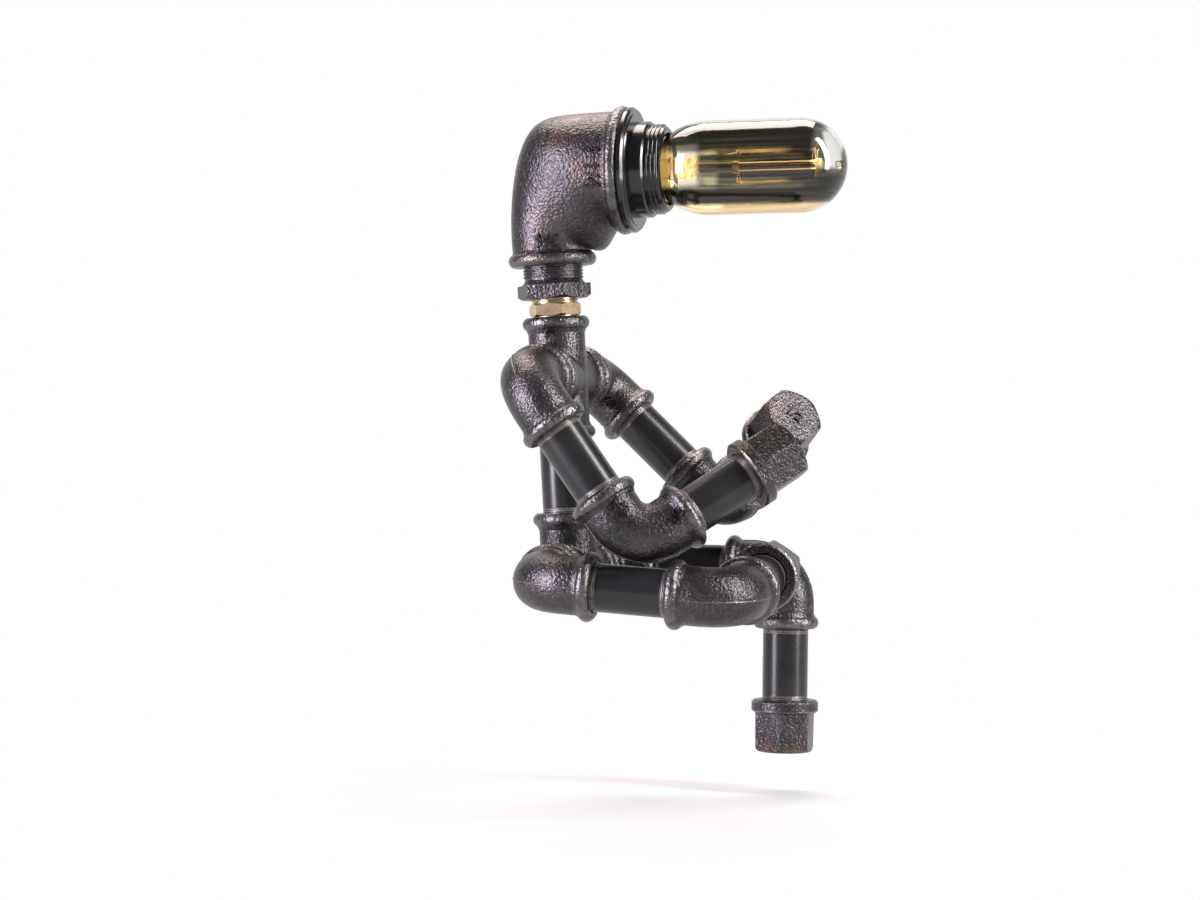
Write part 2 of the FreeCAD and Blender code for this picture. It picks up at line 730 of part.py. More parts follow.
def bulb_stem():
    """The glass foot, flattened pinch and the long rod that carries the filament's hubs."""
    foot_back = BULB_CAP_FRONT - STEM_FOOT_SET_BACK
    foot_front = foot_back + STEM_FOOT_HEIGHT
    foot = BULB_NECK_OD / 2 - BULB_GLASS_WALL
    tube = STEM_TUBE_OD / 2
    disc = [(foot_back, 0), (foot_back, foot), (foot_front, foot)]
    flare = lathe(disc + [(foot_front + STEM_FLARE_HEIGHT, tube), (PINCH_BACK, tube), (PINCH_BACK, 0)])
    corner = Vector(PINCH_BACK, -PINCH_THICKNESS / 2, -PINCH_WIDTH / 2)
    pinch = Part.makeBox(PINCH_LENGTH, PINCH_THICKNESS, PINCH_WIDTH, corner)
    pinch = pinch.makeFillet(PINCH_EDGE, [edge for edge in pinch.Edges if edge.BoundBox.XLength > 1])
    long_rod = rod(ROD_OD / 2, FORWARD * (PINCH_FRONT - 1), FORWARD * (CAGE_FRONT + HUB_HEIGHT))
    return flare.fuse([pinch, long_rod])


def spoke_end(index, along, half_step):
    angle = math.radians((index + (0.5 if half_step else 0)) * 360 / FILAMENT_LOOPS)
    return Vector(along, CAGE_RADIUS * math.sin(angle), CAGE_RADIUS * math.cos(angle))


def filament_supports():
    """Two hubs on the rod, each with a star of hooks that hold the filament."""
    pieces = []
    for hub_back, along, half_step in (
        (CAGE_BACK - HUB_HEIGHT, CAGE_BACK, False),
        (CAGE_FRONT, CAGE_FRONT, True),
    ):
        hub_bore = ROD_OD / 2
        ring = lathe(
            [
                (hub_back, hub_bore),
                (hub_back, HUB_OD / 2),
                (hub_back + HUB_HEIGHT, HUB_OD / 2),
                (hub_back + HUB_HEIGHT, hub_bore),
            ]
        )
        middle = FORWARD * (hub_back + HUB_HEIGHT / 2)
        spokes = []
        for index in range(FILAMENT_LOOPS):
            tip = spoke_end(index, along, half_step)
            outward = Vector(0, tip.y, tip.z) * (1 / CAGE_RADIUS)
            start = middle + outward * (ROD_OD + HUB_OD) / 4
            spokes.append(rod(SUPPORT_WIRE_OD / 2, start, tip))
        pieces.append(ring.fuse(spokes))
    return Part.makeCompound(pieces)


def filament():
    """One wire that runs to and fro between the hooks of the two stars."""
    lift = SUPPORT_WIRE_OD / 2 + FILAMENT_OD / 2
    runs = []
    for index in range(FILAMENT_LOOPS):
        near = spoke_end(index, CAGE_BACK + lift, False)
        far = spoke_end(index, CAGE_FRONT - lift, True)
        runs.append(rod(FILAMENT_OD / 2, near, far))
        if index + 1 < FILAMENT_LOOPS:
            following = spoke_end(index + 1, CAGE_BACK + lift, False)
            runs.append(rod(FILAMENT_OD / 2, far, following))
    return runs[0].fuse(runs[1:])


def lead_in_wires():
    """The pair of wires from the pinch to the back hub, one each side of the rod."""
    wires = []
    for side in (-1, 1):
        beside_rod = UP * (side * (ROD_OD + HUB_OD) / 4)
        start = FORWARD * PINCH_FRONT + beside_rod
        end = FORWARD * (CAGE_BACK - HUB_HEIGHT) + beside_rod
        wires.append(rod(SUPPORT_WIRE_OD / 2, start, end))
    return Part.makeCompound(wires)


def bent_lead(start, corner, end, radius):
    """A round lead along two straight runs with a tangent arc between them."""
    inward = (start - corner).normalize()
    outward = (end - corner).normalize()
    half = (math.pi - inward.getAngle(outward)) / 2
    back = radius * math.tan(half)
    first = corner + inward * back
    last = corner + outward * back
    bisector = (inward + outward).normalize()
    middle = corner + bisector * (radius / math.cos(half) - radius)
    bend = Part.Arc(first, middle, last).toShape()
    path = Part.Wire([Part.makeLine(start, first), bend, Part.makeLine(last, end)])
    section = Part.Wire(Part.makeCircle(LEAD_OD / 2, start, inward * -1))
    return path.makePipeShell([section], True, False)


def grommet():
    """A rubber grommet about the X axis, its groove centred on the tee's back wall."""
    middle = -(BODY_OD + BODY_BORE) / 4
    half = GROMMET_GROOVE / 2
    rim = GROMMET_OD / 2
    groove = GROMMET_GROOVE_OD / 2
    bore = GROMMET_BORE / 2
    outside = -BODY_OD / 2 - GROMMET_FLANGE
    inside = middle + half
    return lathe(
        [
            (outside, bore),
            (outside, rim - GROMMET_EASE),
            (outside + GROMMET_EASE, rim),
            (-BODY_OD / 2, rim),
            (-BODY_OD / 2, groove),
            (inside, groove),
            (inside, bore),
        ]
    )


def make_torso(hip, chest, spine):
    lean = seat_frame(chest, FORWARD_OF_SPINE, spine)
    save(placed(tee_fitting(), seat_frame(hip, FORWARD_OF_SPINE, spine)), "hip_tee")
    save(placed(cross_fitting(), lean), "chest_cross")
    up_from_hip = seat_frame(hip + spine * FITTING_REACH, spine, LEFT)
    save(placed(nipple(NIPPLE_SHOWN), up_from_hip), "spine_pipe")
    for name, side in (("right", -1), ("left", 1)):
        outward = LEFT * side
        shoulder = seat_frame(chest + outward * FITTING_REACH, outward, spine)
        save(placed(close_nipple(SHOULDER_GAP), shoulder), name + "_shoulder_nipple")
        joint = seat_frame(hip + outward * FITTING_REACH, outward, spine)
        save(placed(close_nipple(HIP_GAP), joint), name + "_hip_nipple")
    neck = seat_frame(chest + spine * FITTING_REACH, spine, LEFT)
    save(placed(brass_nipple(), neck), "brass_neck_nipple")
    save(placed(grommet(), seat_frame(hip, FORWARD_OF_SPINE, spine)), "cord_grommet")
    start = hip - FORWARD_OF_SPINE * (LEAD_SPINE_BEND + LEAD_START_STRAIGHT)
    end = chest + spine * LEAD_SPLIT_ABOVE_CHEST
    save(bent_lead(start, hip, end, LEAD_SPINE_BEND), "spine_lead")


def make_head(chest, spine):
    below_bushing = FITTING_REACH + BRASS_FOOT + BRASS_HEX_HEIGHT + BRASS_COLLAR
    bushing = seat_frame(chest + spine * below_bushing, spine, LEFT)
    save(placed(neck_bushing(), bushing), "neck_bushing")
    neck_face = below_bushing + BUSHING_HEX_HEIGHT + BUSHING_THREAD_SHOWN
    head = chest + spine * (neck_face + HEAD_NECK_REACH)
    ahead = turned(FORWARD_OF_SPINE, spine * -1, HEAD_MOUTH_TILT)
    front = seat_frame(head, ahead, ahead.cross(LEFT))
    pieces = {
        "head_elbow": head_fitting,
        "holder_ring": holder_ring,
        "holder_body": holder_body,
        "holder_core": holder_core,
        "screw_shell": screw_shell,
        "centre_contact": centre_contact,
        "terminal_screws": terminal_screws,
        "bulb_glass": bulb_glass,
        "bulb_cap": bulb_cap,
        "bulb_insulator": bulb_insulator,
        "bulb_contact": bulb_contact,
        "bulb_stem": bulb_stem,
        "filament_supports": filament_supports,
        "filament": filament,
        "bulb_lead_wires": lead_in_wires,
    }
    for name, maker in pieces.items():
        save(placed(maker(), front), name)
    start = chest + spine * (LEAD_SPLIT_ABOVE_CHEST + LEAD_SPLIT_GAP)
    end = head + ahead * (BARREL_BACK + HOLDER_BACK_WALL)
    save(bent_lead(start, head, end, LEAD_HEAD_BEND), "head_lead")


def make_arm(name, side, chest, forward_angle, inward_angle):
    outward = LEFT * side
    down = swung(forward_angle)
    ahead = swung(forward_angle + 90)
    fore = turned(ahead, outward * -1, inward_angle)
    shoulder = chest + outward * (2 * FITTING_REACH + SHOULDER_GAP)
    elbow = shoulder + down * (2 * FITTING_REACH + NIPPLE_SHOWN)
    save(placed(elbow_fitting(), seat_frame(shoulder, outward * -1, down)), name + "_shoulder_elbow")
    upper = seat_frame(shoulder + down * FITTING_REACH, down, outward)
    save(placed(nipple(NIPPLE_SHOWN), upper), name + "_upper_arm_pipe")
    save(placed(elbow_fitting(), seat_frame(elbow, down * -1, fore)), name + "_elbow")
    wrist = seat_frame(elbow + fore * FITTING_REACH, fore, down)
    save(placed(nipple(FOREARM_SHOWN), wrist), name + "_forearm_pipe")
    hand = seat_frame(elbow + fore * (FITTING_REACH + FOREARM_SHOWN), fore, down)
    save(placed(cap_fitting(), hand), name + "_hand_cap")


def make_leg(name, side, hip_centre, drop_angle, inward_angle):
    outward = LEFT * side
    thigh = swung(90 - drop_angle)
    down = swung(-drop_angle)
    shin = turned(down, outward * -1, inward_angle)
    hip = hip_centre + outward * (2 * FITTING_REACH + HIP_GAP)
    knee = hip + thigh * (2 * FITTING_REACH + NIPPLE_SHOWN)
    save(placed(elbow_fitting(), seat_frame(hip, outward * -1, thigh)), name + "_hip_elbow")
    upper = seat_frame(hip + thigh * FITTING_REACH, thigh, outward)
    save(placed(nipple(NIPPLE_SHOWN), upper), name + "_thigh_pipe")
    save(placed(elbow_fitting(), seat_frame(knee, thigh * -1, shin)), name + "_knee_elbow")
    ankle = seat_frame(knee + shin * FITTING_REACH, shin, thigh)
    save(placed(nipple(NIPPLE_SHOWN), ankle), name + "_shin_pipe")
    foot = seat_frame(knee + shin * (FITTING_REACH + NIPPLE_SHOWN), shin, thigh)
    save(placed(cap_fitting(), foot), name + "_foot_cap")


os.makedirs("parts", exist_ok=True)

SPINE = swung(180 + TORSO_LEAN)
FORWARD_OF_SPINE = LEFT.cross(SPINE)
HIP = UP * (BEAD_OD / 2)
CHEST = HIP + SPINE * (2 * FITTING_REACH + NIPPLE_SHOWN)

make_torso(HIP, CHEST, SPINE)
make_head(CHEST, SPINE)
make_arm("right", -1, CHEST, RIGHT_ARM_FORWARD, RIGHT_FOREARM_INWARD)
make_arm("left", 1, CHEST, LEFT_ARM_FORWARD, LEFT_FOREARM_INWARD)
make_leg("right", -1, HIP, RIGHT_THIGH_DROP, RIGHT_SHIN_INWARD)
make_leg("left", 1, HIP, LEFT_THIGH_DROP, LEFT_SHIN_INWARD)
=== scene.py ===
import json
import math

import bpy
from mathutils import Matrix, Vector


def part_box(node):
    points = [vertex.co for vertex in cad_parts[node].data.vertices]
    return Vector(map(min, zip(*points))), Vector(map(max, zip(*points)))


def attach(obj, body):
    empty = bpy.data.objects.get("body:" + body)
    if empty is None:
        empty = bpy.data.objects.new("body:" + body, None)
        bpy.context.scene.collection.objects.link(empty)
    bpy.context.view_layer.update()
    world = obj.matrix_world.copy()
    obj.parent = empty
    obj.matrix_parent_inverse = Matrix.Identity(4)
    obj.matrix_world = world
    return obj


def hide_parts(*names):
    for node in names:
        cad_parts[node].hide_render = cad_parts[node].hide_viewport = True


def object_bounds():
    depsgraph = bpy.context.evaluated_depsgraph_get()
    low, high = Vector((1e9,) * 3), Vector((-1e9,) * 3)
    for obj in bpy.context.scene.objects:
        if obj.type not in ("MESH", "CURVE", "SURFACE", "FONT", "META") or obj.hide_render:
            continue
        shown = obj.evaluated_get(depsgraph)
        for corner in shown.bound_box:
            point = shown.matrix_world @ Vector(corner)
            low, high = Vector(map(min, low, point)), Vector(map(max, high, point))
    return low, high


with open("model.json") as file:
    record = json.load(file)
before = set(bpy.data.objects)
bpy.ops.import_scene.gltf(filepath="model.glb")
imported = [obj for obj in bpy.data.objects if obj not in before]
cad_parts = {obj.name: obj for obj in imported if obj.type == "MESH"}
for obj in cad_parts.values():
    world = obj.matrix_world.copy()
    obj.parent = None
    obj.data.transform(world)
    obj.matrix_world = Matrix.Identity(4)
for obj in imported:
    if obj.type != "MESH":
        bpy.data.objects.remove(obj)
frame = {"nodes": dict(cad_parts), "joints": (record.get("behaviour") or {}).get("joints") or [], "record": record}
cad_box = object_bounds()

# Seated figure of iron pipe fittings with a tubular bulb. Sizes are in millimetres, times MM.
MM = 0.001

# Fittings, and the pipe or the gap that shows between two of them
REACH = 28.0
BODY_RADIUS = 13.0
BEND_RADIUS = 16.0
BEAD_RADIUS = 15.4
BEAD_WIDTH = 5.6
SHOULDER_GAP = 4.0
HIP_GAP = 3.6
NIPPLE_SHOWN = 33.7
FOREARM_SHOWN = 31.7

# Parting lines of the elbows
SEAM_RADIUS = 0.5
SEAM_SUNK = 0.12
SEAM_STEPS = 24

# Hexagonal caps
CAP_HEIGHT = 24.5
CAP_BAND_RADIUS = 15.7
CAP_BAND_HEIGHT = 5.8
CAP_CORNER_RADIUS = 15.0

# Neck, from the chest's centre along the spine
BRASS_THREAD_START = 35.0
BRASS_THREAD_LENGTH = 1.0
BUSHING_THREAD_START = 45.5
NECK_FACE = 51.4

# Head and lamp, from the head's centre along its axis
SKIRT_THREAD_START = 50.8
SKIRT_THREAD_LENGTH = 5.0
SKIRT_RADIUS = 20.0
STEM_TIP = 70.6
CAGE_BACK = 89.5
CAGE_FRONT = 125.0
BULB_TIP = 138.9

# Beads of the castings: reach of the mouth, width, radius of the body behind it, radius of the crest
HALF_INCH_BEAD = (REACH, BEAD_WIDTH, BODY_RADIUS, BEAD_RADIUS)
MOUTH_BEAD = (38.8, 5.2, 26.7, 29.2)
NECK_BEAD = (43.0, 5.8, 17.6, 20.2)

# Threads: the radius that a ridge is centred on, and the pitch, rise and width of a ridge
HALF_INCH_THREAD = 20.95 / 2
BUSHING_THREAD = 26.4 / 2
IRON_RIDGE = (1.5, 0.7, 1.1)
BRASS_RIDGE = (1.0, 0.4, 0.8)
HOLDER_RIDGE = (1.9, 0.55, 1.3)
RIDGE_STEPS = 44
THREAD_INSET = 0.6
PIPE_GROOVE = 0.9

# Filament: coiled strands between two stars of hooks on their hubs, and the radii of its wires
STRANDS = 6
CAGE_RADIUS = 8.0
STRAND_INSET = 0.6
STRAND_WIRE = 0.13
COIL_RADIUS = 0.28
COIL_PITCH = 0.9
COIL_SIDES = 8
SPOKE_START = 1.9
HOOK_WIRE = 0.22
HUB_HEIGHT = 2.4
HUB_BORE = 1.6
HUB_RADIUS = 2.9
ROD_WIRE = 0.3
ROD_SPREAD = 1.75
ROD_NEARER = 0.6
STEM_WIRE = 0.25
LEAD_WIRE = 0.2

# The lead's way from the stem to a strand: along the head's axis, out from it, and round it in radians
LEAD_WAY = ((STEM_TIP, 1.9, 0), (76, 3.4, 0), (82, 5.6, 0.2), (88, 7.6, 0.45))

# Drawn tip of the glass
PIP_RADIUS = 1.9
PIP_SHOULDER = 1.2
PIP_INSET = 3.6

# Raised pipe sizes: how far they stand out and reach in, and their places in the photograph's frame
FIGURE_RELIEF = 0.8
FIGURE_ROOT = 0.4
MOUTH_FIGURES = (590, 166)
NECK_FIGURES = (547, 240)
ELBOW_FIGURES = (619, 506)
ELBOW_SECOND_FIGURES = (676, 516)
CHEST_FIGURES = (551, 338)
SHOULDER_FIGURES = (610, 400)

# Camera, fitted to the photograph's frame
IMAGE_WIDTH = 1200
IMAGE_HEIGHT = 900
SENSOR = 36.0
FOCAL_PIXELS = 2769.2
CAMERA_AZIMUTH = 14.83
CAMERA_ELEVATION = 1.25
CAMERA_ROLL = -0.54
CAMERA_DISTANCE = 1268.0
CAMERA_TARGET = Vector((14.93, 0, 71.9)) * MM

# The floor clears the legs where they hang lowest, with a hip swung down and the shin level
FLOOR_DROP = 18.5

# The room's own light, and how bright it looks in metal, where the white ground is 1
ROOM_LIGHT = 0.10
ROOM_GLOSS = 0.15

# The floor and backdrop, in metres: its size, its bend, its grey, the share of white that it keeps
# beside the foot, and how far from the foot that share starts and stops to rise to 1
SWEEP_SIZE = 6.0
SWEEP_BEND = 1.2
SWEEP_GREY = 0.62
SHADOW_WHITE = 0.15
SHADOW_NEAR = 0.04
SHADOW_FAR = 0.24

LEFT = Vector((0, 1, 0))
SIDES = {"right": -LEFT, "left": LEFT}
JOINTS = {joint["name"]: joint for joint in frame["joints"]}


def joint_place(name):
    return Vector(JOINTS[name]["pos_m"])


def joint_axis(name):
    return Vector(JOINTS[name]["axis"]).normalized()


def middle(node):
    low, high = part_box(node)
    return (low + high) / 2


def towards(start, end):
    return (end - start).normalized()


# The figure's skeleton, read from the joints and the pipes
CHEST = joint_place("neck_swivel")
SPINE = joint_axis("neck_swivel")
HIPS = (joint_place("right_hip_swing") + joint_place("left_hip_swing")) / 2
HEAD = joint_place("bulb_turn")
AHEAD = joint_axis("bulb_turn")
HEAD_UP = AHEAD.cross(LEFT)
NECK_DOWN = -SPINE


def elbow_ports():
    """Each half-inch elbow with its corner and the ways that its two ports face."""
    found = {}
    for side, outward in SIDES.items():
        shoulder = joint_place(side + "_shoulder_swing")
        elbow = joint_place(side + "_elbow_turn")
        hip = joint_place(side + "_hip_swing")
        knee = joint_place(side + "_knee_turn")
        hand = middle(side + "_forearm_pipe")
        foot = middle(side + "_shin_pipe")
        found[side + "_shoulder_elbow"] = (shoulder, -outward, towards(shoulder, elbow))
        found[side + "_elbow"] = (elbow, towards(elbow, shoulder), towards(elbow, hand))
        found[side + "_hip_elbow"] = (hip, -outward, towards(hip, knee))
        found[side + "_knee_elbow"] = (knee, towards(knee, hip), towards(knee, foot))
    return found


ELBOWS = elbow_ports()
CAPS = {
    "right_hand_cap": ("right_elbow", FOREARM_SHOWN),
    "left_hand_cap": ("left_elbow", FOREARM_SHOWN),
    "right_foot_cap": ("right_knee_elbow", NIPPLE_SHOWN),
    "left_foot_cap": ("left_knee_elbow", NIPPLE_SHOWN),
}
SHORT_NIPPLES = ("right_shoulder_nipple", "left_shoulder_nipple", "right_hip_nipple", "left_hip_nipple")
BODY_OF = {node: body for body, nodes in frame["record"]["behaviour"]["bodies"].items() for node in nodes}


def axes_frame(origin, x_axis, z_hint):
    """The matrix that carries local X to x_axis and local Z as near to z_hint as can be."""
    x_axis = x_axis.normalized()
    y_axis = z_hint.cross(x_axis).normalized()
    z_axis = x_axis.cross(y_axis)
    turn = Matrix((x_axis, y_axis, z_axis)).transposed().to_4x4()
    return Matrix.Translation(origin) @ turn


class Value:
    """A number that varies over a surface. Expressions on it add the Math nodes."""

    def __init__(self, nodes, socket):
        self.nodes = nodes
        self.socket = socket

    def maths(self, operation, *others):
        return self.nodes.maths(operation, self, *others)

    def __add__(self, other):
        return self.maths("ADD", other)

    __radd__ = __add__

    def __sub__(self, other):
        return self.maths("SUBTRACT", other)

    def __rsub__(self, other):
        return self.nodes.maths("SUBTRACT", other, self)

    def __mul__(self, other):
        return self.maths("MULTIPLY", other)

    __rmul__ = __mul__

    def between(self, low, high):
        """0 at low and below, 1 at high and above, smooth in between."""
        settings = {"interpolation_type": "SMOOTHSTEP"}
        sockets = {"Value": self, "From Min": low, "From Max": high}
        return self.nodes.number("ShaderNodeMapRange", settings, sockets, "Result")

    def band(self, start, full, fade, end):
        """1 from full to fade, 0 before start and after end, in millimetres."""
        return self.between(start * MM, full * MM) * (1 - self.between(fade * MM, end * MM))


class Nodes:
    """The nodes of a material or of the world. Sockets take plain numbers, colours, or links."""

    def __init__(self, tree):
        self.tree = tree

    def node(self, kind, settings=None, sockets=None):
        """Any node, by its type, its settings, and its sockets by name or position."""
        made = self.tree.nodes.new(kind)
        for name, value in (settings or {}).items():
            setattr(made, name, value)
        for name, value in (sockets or {}).items():
            self.feed(made.inputs[name], value)
        return made

    def feed(self, socket, value):
        if isinstance(value, Value):
            value = value.socket
        if isinstance(value, bpy.types.NodeSocket):
            self.tree.links.new(value, socket)
        elif isinstance(value, tuple) and socket.type == "RGBA" and len(value) == 3:
            socket.default_value = (*value, 1)
        else:
            socket.default_value = value

    def number(self, kind, settings, sockets, output):
        return Value(self, self.node(kind, settings, sockets).outputs[output])

    def maths(self, operation, *values):
        return self.number("ShaderNodeMath", {"operation": operation}, dict(enumerate(values)), 0)

    def vector(self, operation, *values, output="Vector"):
        made = self.node("ShaderNodeVectorMath", {"operation": operation}, dict(enumerate(values)))
        return made.outputs[output]


class Finish(Nodes):
    """A material that reads the object's own coordinates."""

    def __init__(self, name):
        self.material = bpy.data.materials.new(name)
        self.material.use_nodes = True
        super().__init__(self.material.node_tree)
        self.shader = self.tree.nodes["Principled BSDF"]
        self.place = self.node("ShaderNodeTexCoord").outputs["Object"]

    def noise(self, scale, detail=2.0, roughness=0.5, place=None):
        sockets = {"Vector": place or self.place, "Scale": scale, "Detail": detail, "Roughness": roughness}
        return self.number("ShaderNodeTexNoise", None, sockets, "Fac")

    def cells(self, scale, smoothness):
        sockets = {"Vector": self.place, "Scale": scale, "Smoothness": smoothness}
        return self.number("ShaderNodeTexVoronoi", {"feature": "SMOOTH_F1"}, sockets, "Distance")

    def blend(self, first, second, amount):
        """A colour from first, at an amount of 0, to second, at 1. Its colour sockets go by position."""
        sockets = {"Factor": amount, 6: first, 7: second}
        return self.node("ShaderNodeMix", {"data_type": "RGBA"}, sockets).outputs[2]

    def bump(self, height, depth):
        sockets = {"Height": height, "Distance": depth * MM, "Strength": 1.0}
        self.feed(self.shader.inputs["Normal"], self.node("ShaderNodeBump", None, sockets).outputs[0])

    def surface(self, **values):
        for name, value in values.items():
            self.feed(self.shader.inputs[name.replace("_", " ")], value)

    def along(self, origin, direction):
        """The distance along a direction from a point, in metres."""
        offset = self.vector("SUBTRACT", self.place, tuple(origin))
        return Value(self, self.vector("DOT_PRODUCT", offset, tuple(direction), output="Value"))

    def from_axis(self, origin, direction):
        """The distance from a line, in metres."""
        offset = self.vector("SUBTRACT", self.place, tuple(origin))
        across = self.vector("CROSS_PRODUCT", offset, tuple(direction))
        return Value(self, self.vector("LENGTH", across, output="Value"))


def bead_mask(finish, origin, direction, reach, width, body, crest):
    """1 on the crest of a bead, 0 on the casting's body."""
    along = finish.along(origin, direction).between((reach - 1.3 * width) * MM, (reach - 0.8 * width) * MM)
    out = finish.from_axis(origin, direction).between((body + 0.4) * MM, (crest - 0.1) * MM)
    return along * out


def cast_iron(name, beads=(), grain=1.0, warm=0.0, edges=None, tone=1.0, speckle=0.35):
    """Black malleable iron: pebbled skin, cloudy oxide colour, beads and edges rubbed brighter."""
    finish = Finish(name)
    cloud = finish.noise(38, 4, 0.6)
    pebble = finish.cells(760 / grain, 0.35)
    fine = finish.noise(900 / grain, 2, 0.5)
    uneven = finish.noise(230, 2)
    specks = finish.noise(1100 / grain, 2).between(0.68 - speckle * 0.2, 0.80 - speckle * 0.2)
    worn = finish.noise(420, 4, 0.7).between(0.42, 0.8) * 0.25
    for bead in beads:
        worn = worn + bead_mask(finish, *bead) * finish.noise(300, 3).between(0.2, 0.7) * 0.5
    if edges:
        worn = worn + edges(finish) * finish.noise(260, 3, 0.7).between(0.15, 0.6)
    deep = tuple(part * tone for part in (0.038, 0.035, 0.038))
    pale = tuple(part * tone for part in (0.080, 0.071, 0.076))
    bare = (0.30, 0.28, 0.28)
    rust = (0.24, 0.125, 0.065)
    colour = finish.blend(deep, pale, cloud.between(0.3, 0.7))
    colour = finish.blend(colour, bare, worn.maths("MINIMUM", 1.0) * 0.7)
    colour = finish.blend(colour, bare, specks * speckle)
    if warm:
        colour = finish.blend(colour, rust, finish.noise(60, 2).between(0.45, 0.8) * warm)
    rough = 0.40 - cloud * 0.08 + specks * 0.05 - worn * 0.06
    finish.surface(Base_Color=colour, Roughness=rough, Metallic=0.92, Specular_IOR_Level=0.5)
    finish.bump(pebble * -0.8 + fine * 1.2 + uneven * 0.7, 0.25 * grain)
    return finish.material


def black_pipe(name, centre, direction, half):
    """Smooth lacquered steel pipe, with the last turns of thread bare at half its shown length."""
    finish = Finish(name)
    cloud = finish.noise(45, 3)
    peel = finish.noise(600, 2)
    specks = finish.noise(2400, 2).between(0.66, 0.8)
    along = finish.along(centre, direction)
    end = along.maths("ABSOLUTE").between((half - 2.6) * MM, (half - 1.8) * MM)
    grooves = (along * (2 * math.pi / (PIPE_GROOVE * MM))).maths("SINE")
    colour = finish.blend((0.006, 0.006, 0.007), (0.016, 0.015, 0.016), cloud.between(0.3, 0.75))
    colour = finish.blend(colour, (0.06, 0.056, 0.054), specks * 0.4)
    bare = end * finish.noise(240, 3, 0.7).between(0.2, 0.6)
    finish.surface(Base_Color=finish.blend(colour, (0.28, 0.25, 0.23), bare * 0.8))
    rough = 0.24 + cloud * 0.08 + specks * 0.12 + bare * 0.1
    finish.surface(Roughness=rough, Metallic=bare * 0.8, Specular_IOR_Level=0.45)
    finish.bump(peel * 0.10 + end * grooves * 0.8, 0.10)
    return finish.material


def polished_brass(name, tarnish, glow=0.0):
    """Turned brass with tarnished patches. A glow is painted light that stands in for the light reaching the brass
    through the glass.
    """
    finish = Finish(name)
    cloud = finish.noise(180, 4, 0.65)
    scuffs = finish.noise(1800, 3, 0.7)
    colour = finish.blend((0.66, 0.50, 0.30), (0.34, 0.22, 0.15), cloud.between(0.4, 0.75) * tarnish)
    finish.surface(Base_Color=colour, Roughness=0.2 + cloud * 0.12 + scuffs * 0.06, Metallic=1.0)
    if glow:
        finish.surface(Emission_Color=finish.blend((1.0, 0.70, 0.16), (1.0, 0.84, 0.36), cloud))
        finish.surface(Emission_Strength=glow)
    finish.bump(scuffs, 0.02)
    return finish.material


def bakelite():
    finish = Finish("bakelite_finish")
    cloud = finish.noise(120, 3)
    dust = finish.noise(2400, 2).between(0.64, 0.85)
    finish.surface(Base_Color=finish.blend((0.005, 0.005, 0.006), (0.05, 0.046, 0.043), dust * 0.4))
    finish.surface(Roughness=0.12 + cloud * 0.10 + dust * 0.2, Specular_IOR_Level=0.6)
    finish.bump(finish.noise(520, 2), 0.02)
    return finish.material


def smoked_glass():
    """Thin glass with an uneven smoke-gold coating, clear at the neck, and painted reflections on it: pale bands
    along the top and bottom, a pale yellow band and a dull green band along the tube, and a near-white patch on
    the dome.
    """
    finish = Finish("smoked_glass_finish")
    height = finish.along(HEAD, HEAD_UP)
    along = finish.along(HEAD, AHEAD)
    wander = finish.noise(1.0, 3, 0.6, finish.vector("MULTIPLY", finish.place, (38.0, 38.0, 90.0))) * 4 * MM
    level = height + wander - 2 * MM
    streaks = finish.noise(1.0, 3, 0.65, finish.vector("MULTIPLY", finish.place, (5.0, 60.0, 520.0)))
    coat = finish.blend((0.060, 0.057, 0.048), (0.26, 0.245, 0.19), streaks.between(0.42, 0.72))
    tube = along.band(72, 80, 112, 119)
    # Painted reflections: a pale yellow band and a dull green band along the tube.
    painted_cream_reflection = level.band(4.0, 5.2, 7.0, 7.8) * tube
    painted_olive_reflection = level.band(-9.6, -8.6, -6.8, -6.0) * tube
    coat = finish.blend(coat, (0.88, 0.74, 0.44), painted_cream_reflection * 0.8)
    coat = finish.blend(coat, (0.62, 0.55, 0.34), painted_olive_reflection * 0.8)
    # Painted reflections: a pale gold band along the bottom, with an amber rim below it.
    coat = finish.blend(coat, (0.97, 0.84, 0.58), 1 - height.between(-17.4 * MM, -16.4 * MM))
    coat = finish.blend(coat, (0.80, 0.46, 0.22), 1 - height.between(-21.0 * MM, -20.0 * MM))
    # Painted reflection: a near-white patch on the dome.
    painted_dome_reflection = along.band(125, 128, 137, 138) * height.band(-4, -1, 15.5, 17)
    coat = finish.blend(coat, (0.96, 0.96, 0.95), painted_dome_reflection)
    # Painted highlight: a pale pink band along the top.
    coat = finish.blend(coat, (0.86, 0.80, 0.76), height.between(18.4 * MM, 19.6 * MM))
    neck = 1 - along.between(73 * MM, 77 * MM)
    core = 1 - height.maths("ABSOLUTE").between(7.5 * MM, 10.5 * MM)
    coat = finish.blend(coat, (0.95, 0.90, 0.82), neck * core)
    finish.surface(Base_Color=coat, Roughness=0.015, IOR=1.5, Transmission_Weight=1.0)
    finish.surface(Specular_IOR_Level=1.0)
    return finish.material


